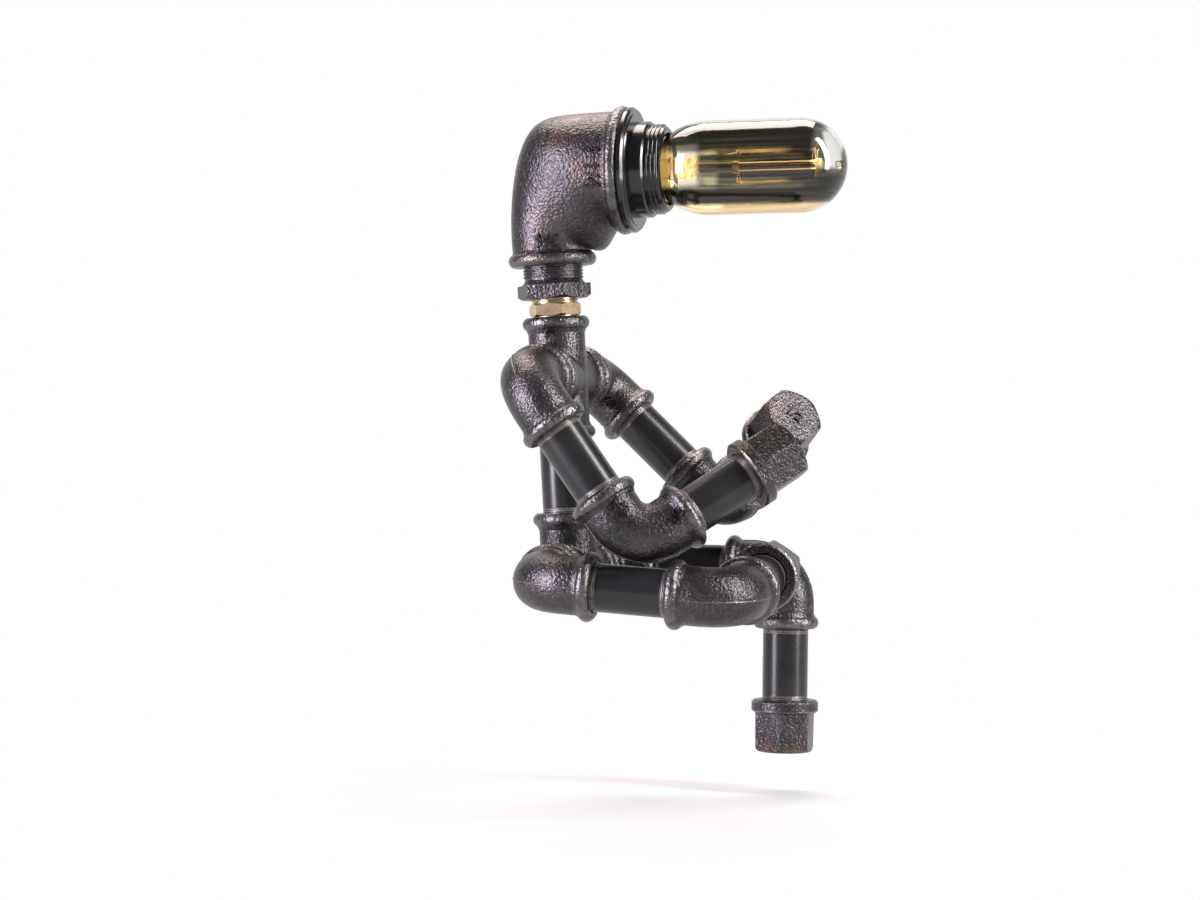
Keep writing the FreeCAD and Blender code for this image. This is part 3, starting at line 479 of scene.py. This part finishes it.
def clear_glass():
    """The stem's glass, honey-coloured where it is pinched round the wires, with a painted orange glow in swirls
    there.
    """
    finish = Finish("clear_glass_finish")
    ripple = finish.noise(260, 2)
    along = finish.along(HEAD, AHEAD)
    pinch = along.band(60, 61, 69.5, 71)
    swirl = finish.noise(420, 3, 0.7).between(0.38, 0.62)
    # Painted glow: the pinch gives off orange light in swirls, though it is no lamp.
    finish.surface(Emission_Color=finish.blend((0, 0, 0), (0.95, 0.62, 0.22), pinch * swirl))
    finish.surface(Emission_Strength=1.2)
    glass = finish.blend((0.95, 0.90, 0.80), (0.85, 0.74, 0.52), ripple)
    finish.surface(Base_Color=finish.blend(glass, (0.50, 0.22, 0.05), pinch * (0.35 + 0.65 * swirl)))
    finish.surface(Roughness=0.06, IOR=1.5, Transmission_Weight=1.0)
    finish.bump(ripple, 0.05)
    return finish.material


def glowing_gold(name, strength):
    """Fine gold-coloured wire with a warm painted glow."""
    finish = Finish(name)
    cloud = finish.noise(900, 2)
    finish.surface(Base_Color=finish.blend((0.90, 0.55, 0.18), (1.0, 0.76, 0.36), cloud), Metallic=1.0)
    finish.surface(Roughness=0.25 + cloud * 0.1)
    finish.surface(Emission_Color=finish.blend((1.0, 0.56, 0.14), (1.0, 0.78, 0.36), cloud))
    finish.surface(Emission_Strength=strength)
    return finish.material


def plain_skin(name, low, high, rough, scale=500, depth=0.03, metallic=0.0):
    """Rubber, braid, ceramic and solder: two near colours, a grain and a soft sheen."""
    finish = Finish(name)
    grain = finish.noise(scale, 3, 0.6)
    finish.surface(Base_Color=finish.blend(low, high, grain), Roughness=rough + grain * 0.12)
    finish.surface(Metallic=metallic)
    finish.bump(grain, depth)
    return finish.material


def dress(node, material):
    slots = frame["nodes"][node].material_slots
    if not slots:
        frame["nodes"][node].data.materials.append(material)
    for slot in slots:
        slot.material = material


def cap_edges(mouth, direction):
    """The rubbed edges of a hexagonal cap: its corners and both rims of its band."""

    def mask(finish):
        along = finish.along(mouth, direction)
        out = finish.from_axis(mouth, direction)
        corners = out.between((CAP_CORNER_RADIUS - 0.9) * MM, (CAP_CORNER_RADIUS - 0.2) * MM)
        rim = out.between((CAP_BAND_RADIUS - 0.7) * MM, (CAP_BAND_RADIUS - 0.2) * MM)
        inner = (along - CAP_BAND_HEIGHT / 2 * MM).maths("ABSOLUTE").between(1.6 * MM, 2.3 * MM)
        on_band = 1 - along.between(CAP_BAND_HEIGHT * MM, (CAP_BAND_HEIGHT + 0.3) * MM)
        return corners * (1 - on_band) * 0.7 + rim * inner * on_band

    return mask


def dress_castings():
    for node, (corner, first, second) in ELBOWS.items():
        beads = [(corner, first, *HALF_INCH_BEAD), (corner, second, *HALF_INCH_BEAD)]
        dress(node, cast_iron(node + "_finish", beads))
    cross_beads = [(CHEST, way, *HALF_INCH_BEAD) for way in (SPINE, -SPINE, LEFT, -LEFT)]
    dress("chest_cross", cast_iron("chest_cross_finish", cross_beads))
    tee_beads = [(HIPS, way, *HALF_INCH_BEAD) for way in (SPINE, LEFT, -LEFT)]
    dress("hip_tee", cast_iron("hip_tee_finish", tee_beads))
    head_beads = [(HEAD, AHEAD, *MOUTH_BEAD), (HEAD, NECK_DOWN, *NECK_BEAD)]
    dress("head_elbow", cast_iron("head_elbow_finish", head_beads, warm=0.2))
    for cap, (elbow, shown) in CAPS.items():
        corner, _, direction = ELBOWS[elbow]
        edges = cap_edges(corner + direction * (REACH + shown) * MM, direction)
        dress(cap, cast_iron(cap + "_finish", warm=0.25, edges=edges, speckle=0.48))
    dress("neck_bushing", cast_iron("neck_bushing_finish", speckle=0.48))


def dress_pipes():
    """Every pipe with bare ends, and the short nipples, which show none."""
    runs = {"spine_pipe": (SPINE, NIPPLE_SHOWN)}
    for side in SIDES:
        runs[side + "_upper_arm_pipe"] = (ELBOWS[side + "_shoulder_elbow"][2], NIPPLE_SHOWN)
        runs[side + "_forearm_pipe"] = (ELBOWS[side + "_elbow"][2], FOREARM_SHOWN)
        runs[side + "_thigh_pipe"] = (ELBOWS[side + "_hip_elbow"][2], NIPPLE_SHOWN)
        runs[side + "_shin_pipe"] = (ELBOWS[side + "_knee_elbow"][2], NIPPLE_SHOWN)
    for node, (direction, shown) in runs.items():
        dress(node, black_pipe(node + "_finish", middle(node), direction, shown / 2))
    past_its_ends = 40.0
    for node in SHORT_NIPPLES:
        dress(node, black_pipe(node + "_finish", middle(node), LEFT, past_its_ends))


def dress_the_rest():
    dress("brass_neck_nipple", NECK_BRASS)
    for node in ("bulb_cap", "screw_shell", "centre_contact"):
        dress(node, LAMP_BRASS)
    for node in ("holder_ring", "holder_body", "bulb_insulator"):
        dress(node, BAKELITE)
    dress("bulb_glass", smoked_glass())
    dress("bulb_stem", clear_glass())
    dress("bulb_lead_wires", SUPPORT_WIRE)
    ceramic = plain_skin("ceramic_finish", (0.70, 0.67, 0.60), (0.82, 0.79, 0.73), 0.25)
    solder = plain_skin("solder_finish", (0.35, 0.35, 0.36), (0.55, 0.55, 0.56), 0.3, metallic=1.0)
    plating = plain_skin("plated_finish", (0.55, 0.55, 0.55), (0.7, 0.7, 0.7), 0.2, metallic=1.0)
    rubber = plain_skin("rubber_finish", (0.012, 0.012, 0.012), (0.03, 0.03, 0.03), 0.55)
    braid = plain_skin("braid_finish", (0.012, 0.012, 0.012), (0.05, 0.05, 0.05), 0.7, 1500, 0.1)
    dress("holder_core", ceramic)
    dress("bulb_contact", solder)
    dress("terminal_screws", plating)
    dress("cord_grommet", rubber)
    dress("spine_lead", braid)
    dress("head_lead", braid)


def start_piece():
    if bpy.context.mode != "OBJECT":
        bpy.ops.object.mode_set(mode="OBJECT")
    bpy.ops.object.select_all(action="DESELECT")


def settle(piece, place):
    """Bakes a placement into the piece's mesh, so its object stays at the origin."""
    start_piece()
    piece.select_set(True)
    bpy.context.view_layer.objects.active = piece
    piece.matrix_world = place
    bpy.ops.object.transform_apply(location=True, rotation=True, scale=True)


def add_piece(piece, name, body, material, smooth):
    """Gives a finished mesh its name, finish, body and slot, shaded smooth up to an angle in degrees."""
    start_piece()
    piece.select_set(True)
    bpy.context.view_layer.objects.active = piece
    bpy.ops.object.mode_set(mode="EDIT")
    bpy.ops.mesh.select_all(action="SELECT")
    bpy.ops.mesh.normals_make_consistent(inside=False)
    bpy.ops.object.mode_set(mode="OBJECT")
    bpy.ops.object.shade_smooth_by_angle(angle=math.radians(smooth))
    piece.name = name
    piece.data.name = name
    piece.data.materials.clear()
    piece.data.materials.append(material)
    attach(piece, body)
    return piece


def along_z(origin, direction):
    """The matrix that carries local Z to a direction."""
    return Matrix.Translation(origin) @ direction.to_track_quat("Z", "Y").to_matrix().to_4x4()


def select_only(piece, kind, wanted):
    """Goes into edit mode with only the wanted faces or edges selected."""
    bpy.ops.object.mode_set(mode="EDIT")
    bpy.ops.mesh.select_mode(type=kind)
    bpy.ops.mesh.select_all(action="DESELECT")
    bpy.ops.object.mode_set(mode="OBJECT")
    for part in piece.data.polygons if kind == "FACE" else piece.data.edges:
        part.select = wanted(part)
    bpy.ops.object.mode_set(mode="EDIT")


def screw_ridge(name, origin, direction, place, ridge_form, body, material):
    """One helical ridge of thread about a line, its ends closed. Its place is radius, start and length."""
    radius, start, length = place
    pitch, rise, width = ridge_form
    start_piece()
    upright = (math.pi / 2, 0, 0)
    bpy.ops.mesh.primitive_circle_add(vertices=6, radius=1, fill_type="NOTHING", rotation=upright)
    ridge = bpy.context.active_object
    bpy.ops.object.transform_apply(rotation=True)
    bpy.ops.object.mode_set(mode="EDIT")
    bpy.ops.mesh.select_all(action="SELECT")
    bpy.ops.transform.resize(value=(rise * MM, 1, width / 2 * MM))
    bpy.ops.transform.translate(value=(radius * MM, 0, start * MM))
    bpy.ops.object.mode_set(mode="OBJECT")
    turns = length / pitch
    screw = ridge.modifiers.new("screw", "SCREW")
    screw.axis = "Z"
    screw.angle = 2 * math.pi * turns
    screw.screw_offset = length * MM
    screw.steps = screw.render_steps = int(RIDGE_STEPS * turns)
    screw.iterations = 1
    bpy.ops.object.modifier_apply(modifier="screw")
    bpy.ops.object.mode_set(mode="EDIT")
    bpy.ops.mesh.select_all(action="SELECT")
    bpy.ops.mesh.fill_holes(sides=8)
    bpy.ops.object.mode_set(mode="OBJECT")
    settle(ridge, along_z(origin, direction))
    return add_piece(ridge, name, body, material, 60)


def cut_threads():
    """The threads that show between the fittings, and the holder's own."""
    iron = cast_iron("thread_iron_finish", grain=0.8)
    bushing = (BUSHING_THREAD, BUSHING_THREAD_START, NECK_FACE - BUSHING_THREAD_START - THREAD_INSET)
    screw_ridge("bushing_thread", CHEST, SPINE, bushing, IRON_RIDGE, "head", iron)
    shoulder = (HALF_INCH_THREAD, REACH + THREAD_INSET, SHOULDER_GAP - 2 * THREAD_INSET)
    hip = (HALF_INCH_THREAD, REACH + THREAD_INSET, HIP_GAP - 2 * THREAD_INSET)
    for side, way in SIDES.items():
        screw_ridge(side + "_shoulder_thread", CHEST, way, shoulder, IRON_RIDGE, "torso", iron)
        screw_ridge(side + "_hip_thread", HIPS, way, hip, IRON_RIDGE, "torso", iron)
    brass = (HALF_INCH_THREAD, BRASS_THREAD_START, BRASS_THREAD_LENGTH)
    screw_ridge("brass_thread", CHEST, SPINE, brass, BRASS_RIDGE, "torso", NECK_BRASS)
    holder = (SKIRT_RADIUS, SKIRT_THREAD_START, SKIRT_THREAD_LENGTH)
    screw_ridge("holder_thread", HEAD, AHEAD, holder, HOLDER_RIDGE, "head", BAKELITE)


def tube_piece(name, points, radius, roundness, body, material):
    """A round wire or ridge along points, in metres, made a mesh."""
    start_piece()
    bpy.ops.curve.primitive_nurbs_path_add()
    wire = bpy.context.active_object
    line = wire.data
    line.splines.clear()
    spline = line.splines.new("POLY")
    spline.points.add(len(points) - 1)
    for control, point in zip(spline.points, points):
        control.co = (*point, 1)
    line.bevel_depth = radius * MM
    line.bevel_resolution = roundness
    line.use_fill_caps = True
    bpy.ops.object.convert(target="MESH")
    piece = bpy.context.active_object
    bpy.ops.object.transform_apply(location=True, rotation=True, scale=True)
    return add_piece(piece, name, body, material, 60)


def parting_seams():
    """The raised line that the two halves of the mould leave round the outside of each elbow."""
    outer = BODY_RADIUS - SEAM_SUNK
    reach = BEND_RADIUS + outer
    run = REACH - 1.3 * BEAD_WIDTH
    seam_iron = cast_iron("seam_finish", grain=0.7, edges=lambda finish: finish.noise(200, 2))
    for node, (corner, first, second) in ELBOWS.items():
        place = axes_frame(corner, first, second)
        points = [Vector((run, 0, -outer)), Vector((BEND_RADIUS, 0, -outer))]
        for step in range(1, SEAM_STEPS):
            turn = math.radians(90 * step / SEAM_STEPS)
            across = BEND_RADIUS - reach * math.sin(turn)
            points.append(Vector((across, 0, BEND_RADIUS - reach * math.cos(turn))))
        points += [Vector((-outer, 0, BEND_RADIUS)), Vector((-outer, 0, run))]
        world = [place @ (point * MM) for point in points]
        tube_piece(node + "_seam", world, SEAM_RADIUS, 2, BODY_OF[node], seam_iron)


def cast_figures(name, words, node, spot, facing, reading, size):
    """A pipe size in raised figures on a casting, each point dropped onto its surface."""
    start_piece()
    bpy.ops.object.text_add()
    text = bpy.context.active_object
    text.data.body = words
    text.data.size = size
    text.data.align_x = "CENTER"
    text.data.align_y = "CENTER"
    text.data.extrude = 0.2
    text.data.offset = 0.03 * size
    text.data.resolution_u = 3
    bpy.ops.object.convert(target="MESH")
    piece = bpy.context.active_object
    bpy.ops.object.mode_set(mode="EDIT")
    bpy.ops.mesh.select_all(action="SELECT")
    bpy.ops.mesh.remove_doubles(threshold=0.0001)
    bpy.ops.object.mode_set(mode="OBJECT")
    facing = facing.normalized()
    reading = (reading - facing * reading.dot(facing)).normalized()
    upward = facing.cross(reading)
    casting = frame["nodes"][node]
    away = 0.05
    for vertex in piece.data.vertices:
        flat = spot + (reading * vertex.co.x + upward * vertex.co.y) * MM
        hit, place, normal, _ = casting.ray_cast(flat + facing * away, -facing)
        if hit:
            lift = FIGURE_RELIEF if vertex.co.z > 0 else -FIGURE_ROOT
            vertex.co = place + normal * lift * MM
        else:
            vertex.co = flat
    return add_piece(piece, name, BODY_OF[node], FIGURE_IRON_PAINTED_SHADE, 35)


def photo_ray(x, y):
    """The direction from the camera through a point of the photograph."""
    right = (x - IMAGE_WIDTH / 2) / FOCAL_PIXELS
    down = (y - IMAGE_HEIGHT / 2) / FOCAL_PIXELS
    return (VIEW_RIGHT * right - VIEW_UP * down - VIEW_BACK).normalized()


def figures_at(name, words, node, spot, reading_angle, size):
    """Raised figures at a point of the photograph, read at an angle from the picture's level."""
    hit, place, normal, _ = frame["nodes"][node].ray_cast(CAMERA_EYE, photo_ray(*spot))
    turn = math.radians(reading_angle)
    reading = VIEW_RIGHT * math.cos(turn) + VIEW_UP * math.sin(turn)
    if hit:
        cast_figures(name, words, node, place, normal, reading, size)


def raise_figures():
    """The pipe sizes that the castings show, and the one on the end of the far hand."""
    figures_at("mouth_figures", "1 1/4", "head_elbow", MOUTH_FIGURES, -90, 9.6)
    figures_at("neck_figures", "3/4", "head_elbow", NECK_FIGURES, 180, 8.4)
    figures_at("right_elbow_figures", "1/2", "right_elbow", ELBOW_FIGURES, -35, 7.2)
    figures_at("right_elbow_second_figures", "1/2", "right_elbow", ELBOW_SECOND_FIGURES, 55, 6.2)
    figures_at("chest_figures", "1/2", "chest_cross", CHEST_FIGURES, 90, 6.0)
    figures_at("left_shoulder_figures", "1/2", "left_shoulder_elbow", SHOULDER_FIGURES, -60, 6.6)
    corner, _, facing = ELBOWS["left_elbow"]
    end = corner + facing * (REACH + FOREARM_SHOWN + CAP_HEIGHT) * MM
    cast_figures("left_hand_figures", "1/2", "left_hand_cap", end, facing, VIEW_RIGHT - VIEW_UP, 6.4)


def head_point(along, radius, angle):
    """A point by its distance along the head's axis and round it, in millimetres."""
    across = LEFT * math.sin(angle) + HEAD_UP * math.cos(angle)
    return HEAD + (AHEAD * along + across * radius) * MM


def coiled_run(start, end):
    """Points of a fine coil from one place to another."""
    direction = towards(start, end)
    side = direction.cross(HEAD_UP).normalized()
    above = side.cross(direction)
    length = (end - start).length
    turns = length / (COIL_PITCH * MM)
    count = int(turns * COIL_SIDES)
    points = []
    for step in range(count + 1):
        turn = 2 * math.pi * turns * step / count
        around = side * math.cos(turn) + above * math.sin(turn)
        points.append(start + direction * length * step / count + around * COIL_RADIUS * MM)
    return points


def bulb_wire(name, points, radius, material):
    return tube_piece(name, points, radius, 1, "bulb", material)


def string_strands(angles):
    """The coiled wire, which runs to and fro between the two stars."""
    strands = []
    for index, angle in enumerate(angles):
        start = head_point(CAGE_BACK + STRAND_INSET, CAGE_RADIUS, angle)
        end = head_point(CAGE_FRONT - STRAND_INSET, CAGE_RADIUS, angle)
        strands += coiled_run(end, start) if index % 2 else coiled_run(start, end)
    wire = tube_piece("filament_strands", strands, STRAND_WIRE, 0, "bulb", FILAMENT_GOLD)
    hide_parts("filament")


def bend_hooks(name, along, angles):
    """A star of spokes, each with a small hook at its end."""
    star = []
    for angle in angles:
        foot = head_point(along, SPOKE_START, angle)
        bend = head_point(along, CAGE_RADIUS - 0.2, angle)
        tip = head_point(along + 0.5, CAGE_RADIUS + 0.35, angle)
        star += [foot, bend, tip, bend, foot]
    hooks = bulb_wire(name, star, HOOK_WIRE, SUPPORT_WIRE)
    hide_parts("filament_supports")


def turn_hub(name, along):
    """The small ring that a star's spokes start from, its corners rounded."""
    start_piece()
    radius, height, wall = HUB_RADIUS * MM, HUB_HEIGHT * MM, (HUB_RADIUS - HUB_BORE) * MM
    bpy.ops.mesh.primitive_cylinder_add(vertices=40, radius=radius, depth=height, end_fill_type="NGON")
    hub = bpy.context.active_object
    select_only(hub, "FACE", lambda face: abs(face.normal.z) > 0.5)
    bpy.ops.mesh.inset(thickness=wall)
    bpy.ops.mesh.bridge_edge_loops()
    bpy.ops.object.mode_set(mode="OBJECT")
    bevel = hub.modifiers.new("bevel", "BEVEL")
    bevel.width = 0.25 * min(height, wall)
    bevel.segments = 3
    bpy.ops.object.modifier_apply(modifier="bevel")
    settle(hub, along_z(HEAD + AHEAD * along * MM, AHEAD))
    add_piece(hub, name, "bulb", SUPPORT_WIRE, 50)


def run_wires():
    """Two wires from hub to hub with a strong painted glow, two that carry them from the stem, and the strands'
    lead.
    """
    for name, side in (("upper", 1), ("lower", -1)):
        beside = HEAD_UP * ROD_SPREAD * side - LEFT * ROD_NEARER
        stops = (STEM_TIP, CAGE_BACK, CAGE_FRONT)
        start, hub, end = (HEAD + (AHEAD * along + beside) * MM for along in stops)
        bulb_wire(name + "_rod_wire", [hub, end], ROD_WIRE, ROD_PAINTED_GLOW)
        bulb_wire(name + "_stem_wire", [start, hub], STEM_WIRE, SUPPORT_WIRE)
    bulb_wire("filament_lead", [head_point(*stop) for stop in LEAD_WAY], LEAD_WIRE, SUPPORT_WIRE)


def build_filament():
    """Six coiled strands level with the rod, hung to and fro between two stars of hooks."""
    angles = [(index + 0.5) * 2 * math.pi / STRANDS for index in range(STRANDS)]
    string_strands(angles)
    bend_hooks("back_hooks", CAGE_BACK, angles)
    bend_hooks("front_hooks", CAGE_FRONT, angles)
    turn_hub("back_hub", CAGE_BACK - HUB_HEIGHT / 2)
    turn_hub("front_hub", CAGE_FRONT + HUB_HEIGHT / 2)
    run_wires()


def exhaust_pip():
    """The little drawn tip where the glass was sealed off."""
    start_piece()
    bpy.ops.mesh.primitive_uv_sphere_add(segments=32, ring_count=16, radius=PIP_RADIUS * MM)
    pip = bpy.context.active_object
    select_only(pip, "FACE", lambda face: face.center.z > PIP_SHOULDER * MM)
    bpy.ops.transform.resize(value=(0.5, 0.5, 1))
    bpy.ops.transform.translate(value=(0, 0, PIP_SHOULDER * MM))
    bpy.ops.mesh.select_all(action="SELECT")
    bpy.ops.mesh.vertices_smooth(factor=0.5, repeat=2)
    bpy.ops.object.mode_set(mode="OBJECT")
    settle(pip, along_z(HEAD + AHEAD * (BULB_TIP - PIP_INSET) * MM, AHEAD))
    add_piece(pip, "exhaust_pip", "bulb", clear_glass(), 60)


def camera_axes():
    azimuth = math.radians(CAMERA_AZIMUTH)
    elevation = math.radians(CAMERA_ELEVATION)
    roll = math.radians(CAMERA_ROLL)
    back = Vector((math.sin(azimuth) * math.cos(elevation), -math.cos(azimuth) * math.cos(elevation), 0))
    back.z = math.sin(elevation)
    level = Vector((math.cos(azimuth), math.sin(azimuth), 0))
    upright = back.cross(level)
    right = math.cos(roll) * level + math.sin(roll) * upright
    return right, -math.sin(roll) * level + math.cos(roll) * upright, back


VIEW_RIGHT, VIEW_UP, VIEW_BACK = camera_axes()
CAMERA_EYE = CAMERA_TARGET + VIEW_BACK * CAMERA_DISTANCE * MM


def set_camera():
    data = bpy.data.cameras.new("photo_camera")
    data.sensor_width = SENSOR
    data.lens = FOCAL_PIXELS / IMAGE_WIDTH * SENSOR
    data.clip_start = 0.05
    camera = bpy.data.objects.new("photo_camera", data)
    bpy.context.scene.collection.objects.link(camera)
    turn = Matrix((VIEW_RIGHT, VIEW_UP, VIEW_BACK)).transposed().to_4x4()
    camera.matrix_world = Matrix.Translation(CAMERA_EYE) @ turn
    bpy.context.scene.camera = camera


def softbox(name, right, up, back, width, height, power, colour):
    """A rectangular lamp placed by the camera's own directions, in metres from the figure."""
    data = bpy.data.lights.new(name, "AREA")
    data.shape = "RECTANGLE"
    data.size = width
    data.size_y = height
    data.energy = power
    data.color = colour
    lamp = bpy.data.objects.new(name, data)
    bpy.context.scene.collection.objects.link(lamp)
    away = VIEW_RIGHT * right + VIEW_UP * up + VIEW_BACK * back
    lamp.matrix_world = along_z(CAMERA_TARGET + away, away)


def set_lamps():
    softbox("left_window", -0.95, 0.22, 0.52, 0.28, 0.9, 21, (0.92, 0.86, 1.0))
    softbox("right_window", 0.92, 0.48, 0.42, 0.22, 1.3, 23, (1.0, 0.98, 0.97))
    softbox("overhead", -0.05, 0.95, -0.38, 0.9, 0.5, 14, (1.0, 0.86, 0.78))


def set_world():
    """White to the camera and through glass, dimmer in metal, and faint as a light on the figure."""
    world = bpy.data.worlds.new("studio")
    bpy.context.scene.world = world
    world.use_nodes = True
    nodes = Nodes(world.node_tree)
    background = nodes.tree.nodes["Background"]
    rays = nodes.node("ShaderNodeLightPath").outputs
    seen = Value(nodes, rays["Is Camera Ray"]).maths("MAXIMUM", rays["Is Transmission Ray"])
    seen = seen.maths("MAXIMUM", Value(nodes, rays["Is Glossy Ray"]) * ROOM_GLOSS)
    nodes.feed(background.inputs["Strength"], seen.maths("MAXIMUM", ROOM_LIGHT))
    nodes.feed(background.inputs["Color"], (1.0, 1.0, 1.0))


def sweep_finish(floor):
    """White to the camera, in gloss and through glass, and shaded by the figure's shadow near its foot."""
    finish = Finish("sweep_finish")
    finish.surface(Base_Color=(SWEEP_GREY, SWEEP_GREY, SWEEP_GREY), Roughness=0.8)
    rays = finish.node("ShaderNodeLightPath").outputs
    seen = Value(finish, rays["Is Camera Ray"]).maths("MAXIMUM", rays["Is Glossy Ray"])
    seen = seen.maths("MAXIMUM", rays["Is Transmission Ray"])
    foot = middle("left_foot_cap")
    foot.z = floor
    away = Value(finish, finish.vector("DISTANCE", finish.place, tuple(foot), output="Value"))
    white = SHADOW_WHITE + (1 - SHADOW_WHITE) * away.between(SHADOW_NEAR, SHADOW_FAR)
    glow = finish.node("ShaderNodeEmission", None, {"Strength": 1.0}).outputs[0]
    sockets = {0: seen * white, 1: finish.shader.outputs[0], 2: glow}
    mixed = finish.node("ShaderNodeMixShader", None, sockets)
    finish.feed(finish.tree.nodes["Material Output"].inputs["Surface"], mixed.outputs[0])
    return finish.material


def lay_sweep():
    """A floor that curves up into a backdrop."""
    start_piece()
    bpy.ops.mesh.primitive_plane_add(size=SWEEP_SIZE)
    sweep = bpy.context.active_object

    def at_the_back(edge):
        """True for the edge of the floor that the backdrop rises from."""
        ends = [sweep.data.vertices[index].co for index in edge.vertices]
        return all(end.y > 0 and end.z < 0.1 for end in ends)

    select_only(sweep, "EDGE", at_the_back)
    bpy.ops.mesh.extrude_region_move(TRANSFORM_OT_translate={"value": (0, 0, SWEEP_SIZE / 2)})
    select_only(sweep, "EDGE", at_the_back)
    bpy.ops.mesh.bevel(offset=SWEEP_BEND, segments=14)
    bpy.ops.object.mode_set(mode="OBJECT")
    floor = cad_box[0].z - FLOOR_DROP * MM
    turn = Matrix.Rotation(math.radians(CAMERA_AZIMUTH), 4, "Z")
    settle(sweep, Matrix.Translation((0, 0, floor)) @ turn)
    bpy.ops.object.shade_smooth()
    sweep.name = "studio_sweep"
    sweep.data.materials.append(sweep_finish(floor))


NECK_BRASS = polished_brass("neck_brass_finish", 0.9)
# The lamp's brass has a painted glow of 0.55 inside the bulb.
LAMP_BRASS = polished_brass("lamp_brass_finish", 0.25, 0.55)
BAKELITE = bakelite()
# The wires' glows are painted light, weakest on the filament and strongest on the two rod wires.
SUPPORT_WIRE = glowing_gold("support_wire_finish", 0.6)
FILAMENT_GOLD = glowing_gold("filament_finish", 0.35)
ROD_PAINTED_GLOW = glowing_gold("rod_painted_glow_finish", 6.0)
# The figures' iron is darkened: painted shade that stands in for the shade of their relief.
FIGURE_IRON_PAINTED_SHADE = cast_iron("figure_painted_shade_finish", grain=0.7, tone=0.35)

dress_castings()
dress_pipes()
dress_the_rest()
cut_threads()
parting_seams()
raise_figures()
build_filament()
exhaust_pip()
set_camera()
set_lamps()
set_world()
lay_sweep()
bpy.context.scene.view_settings.view_transform = "Standard"
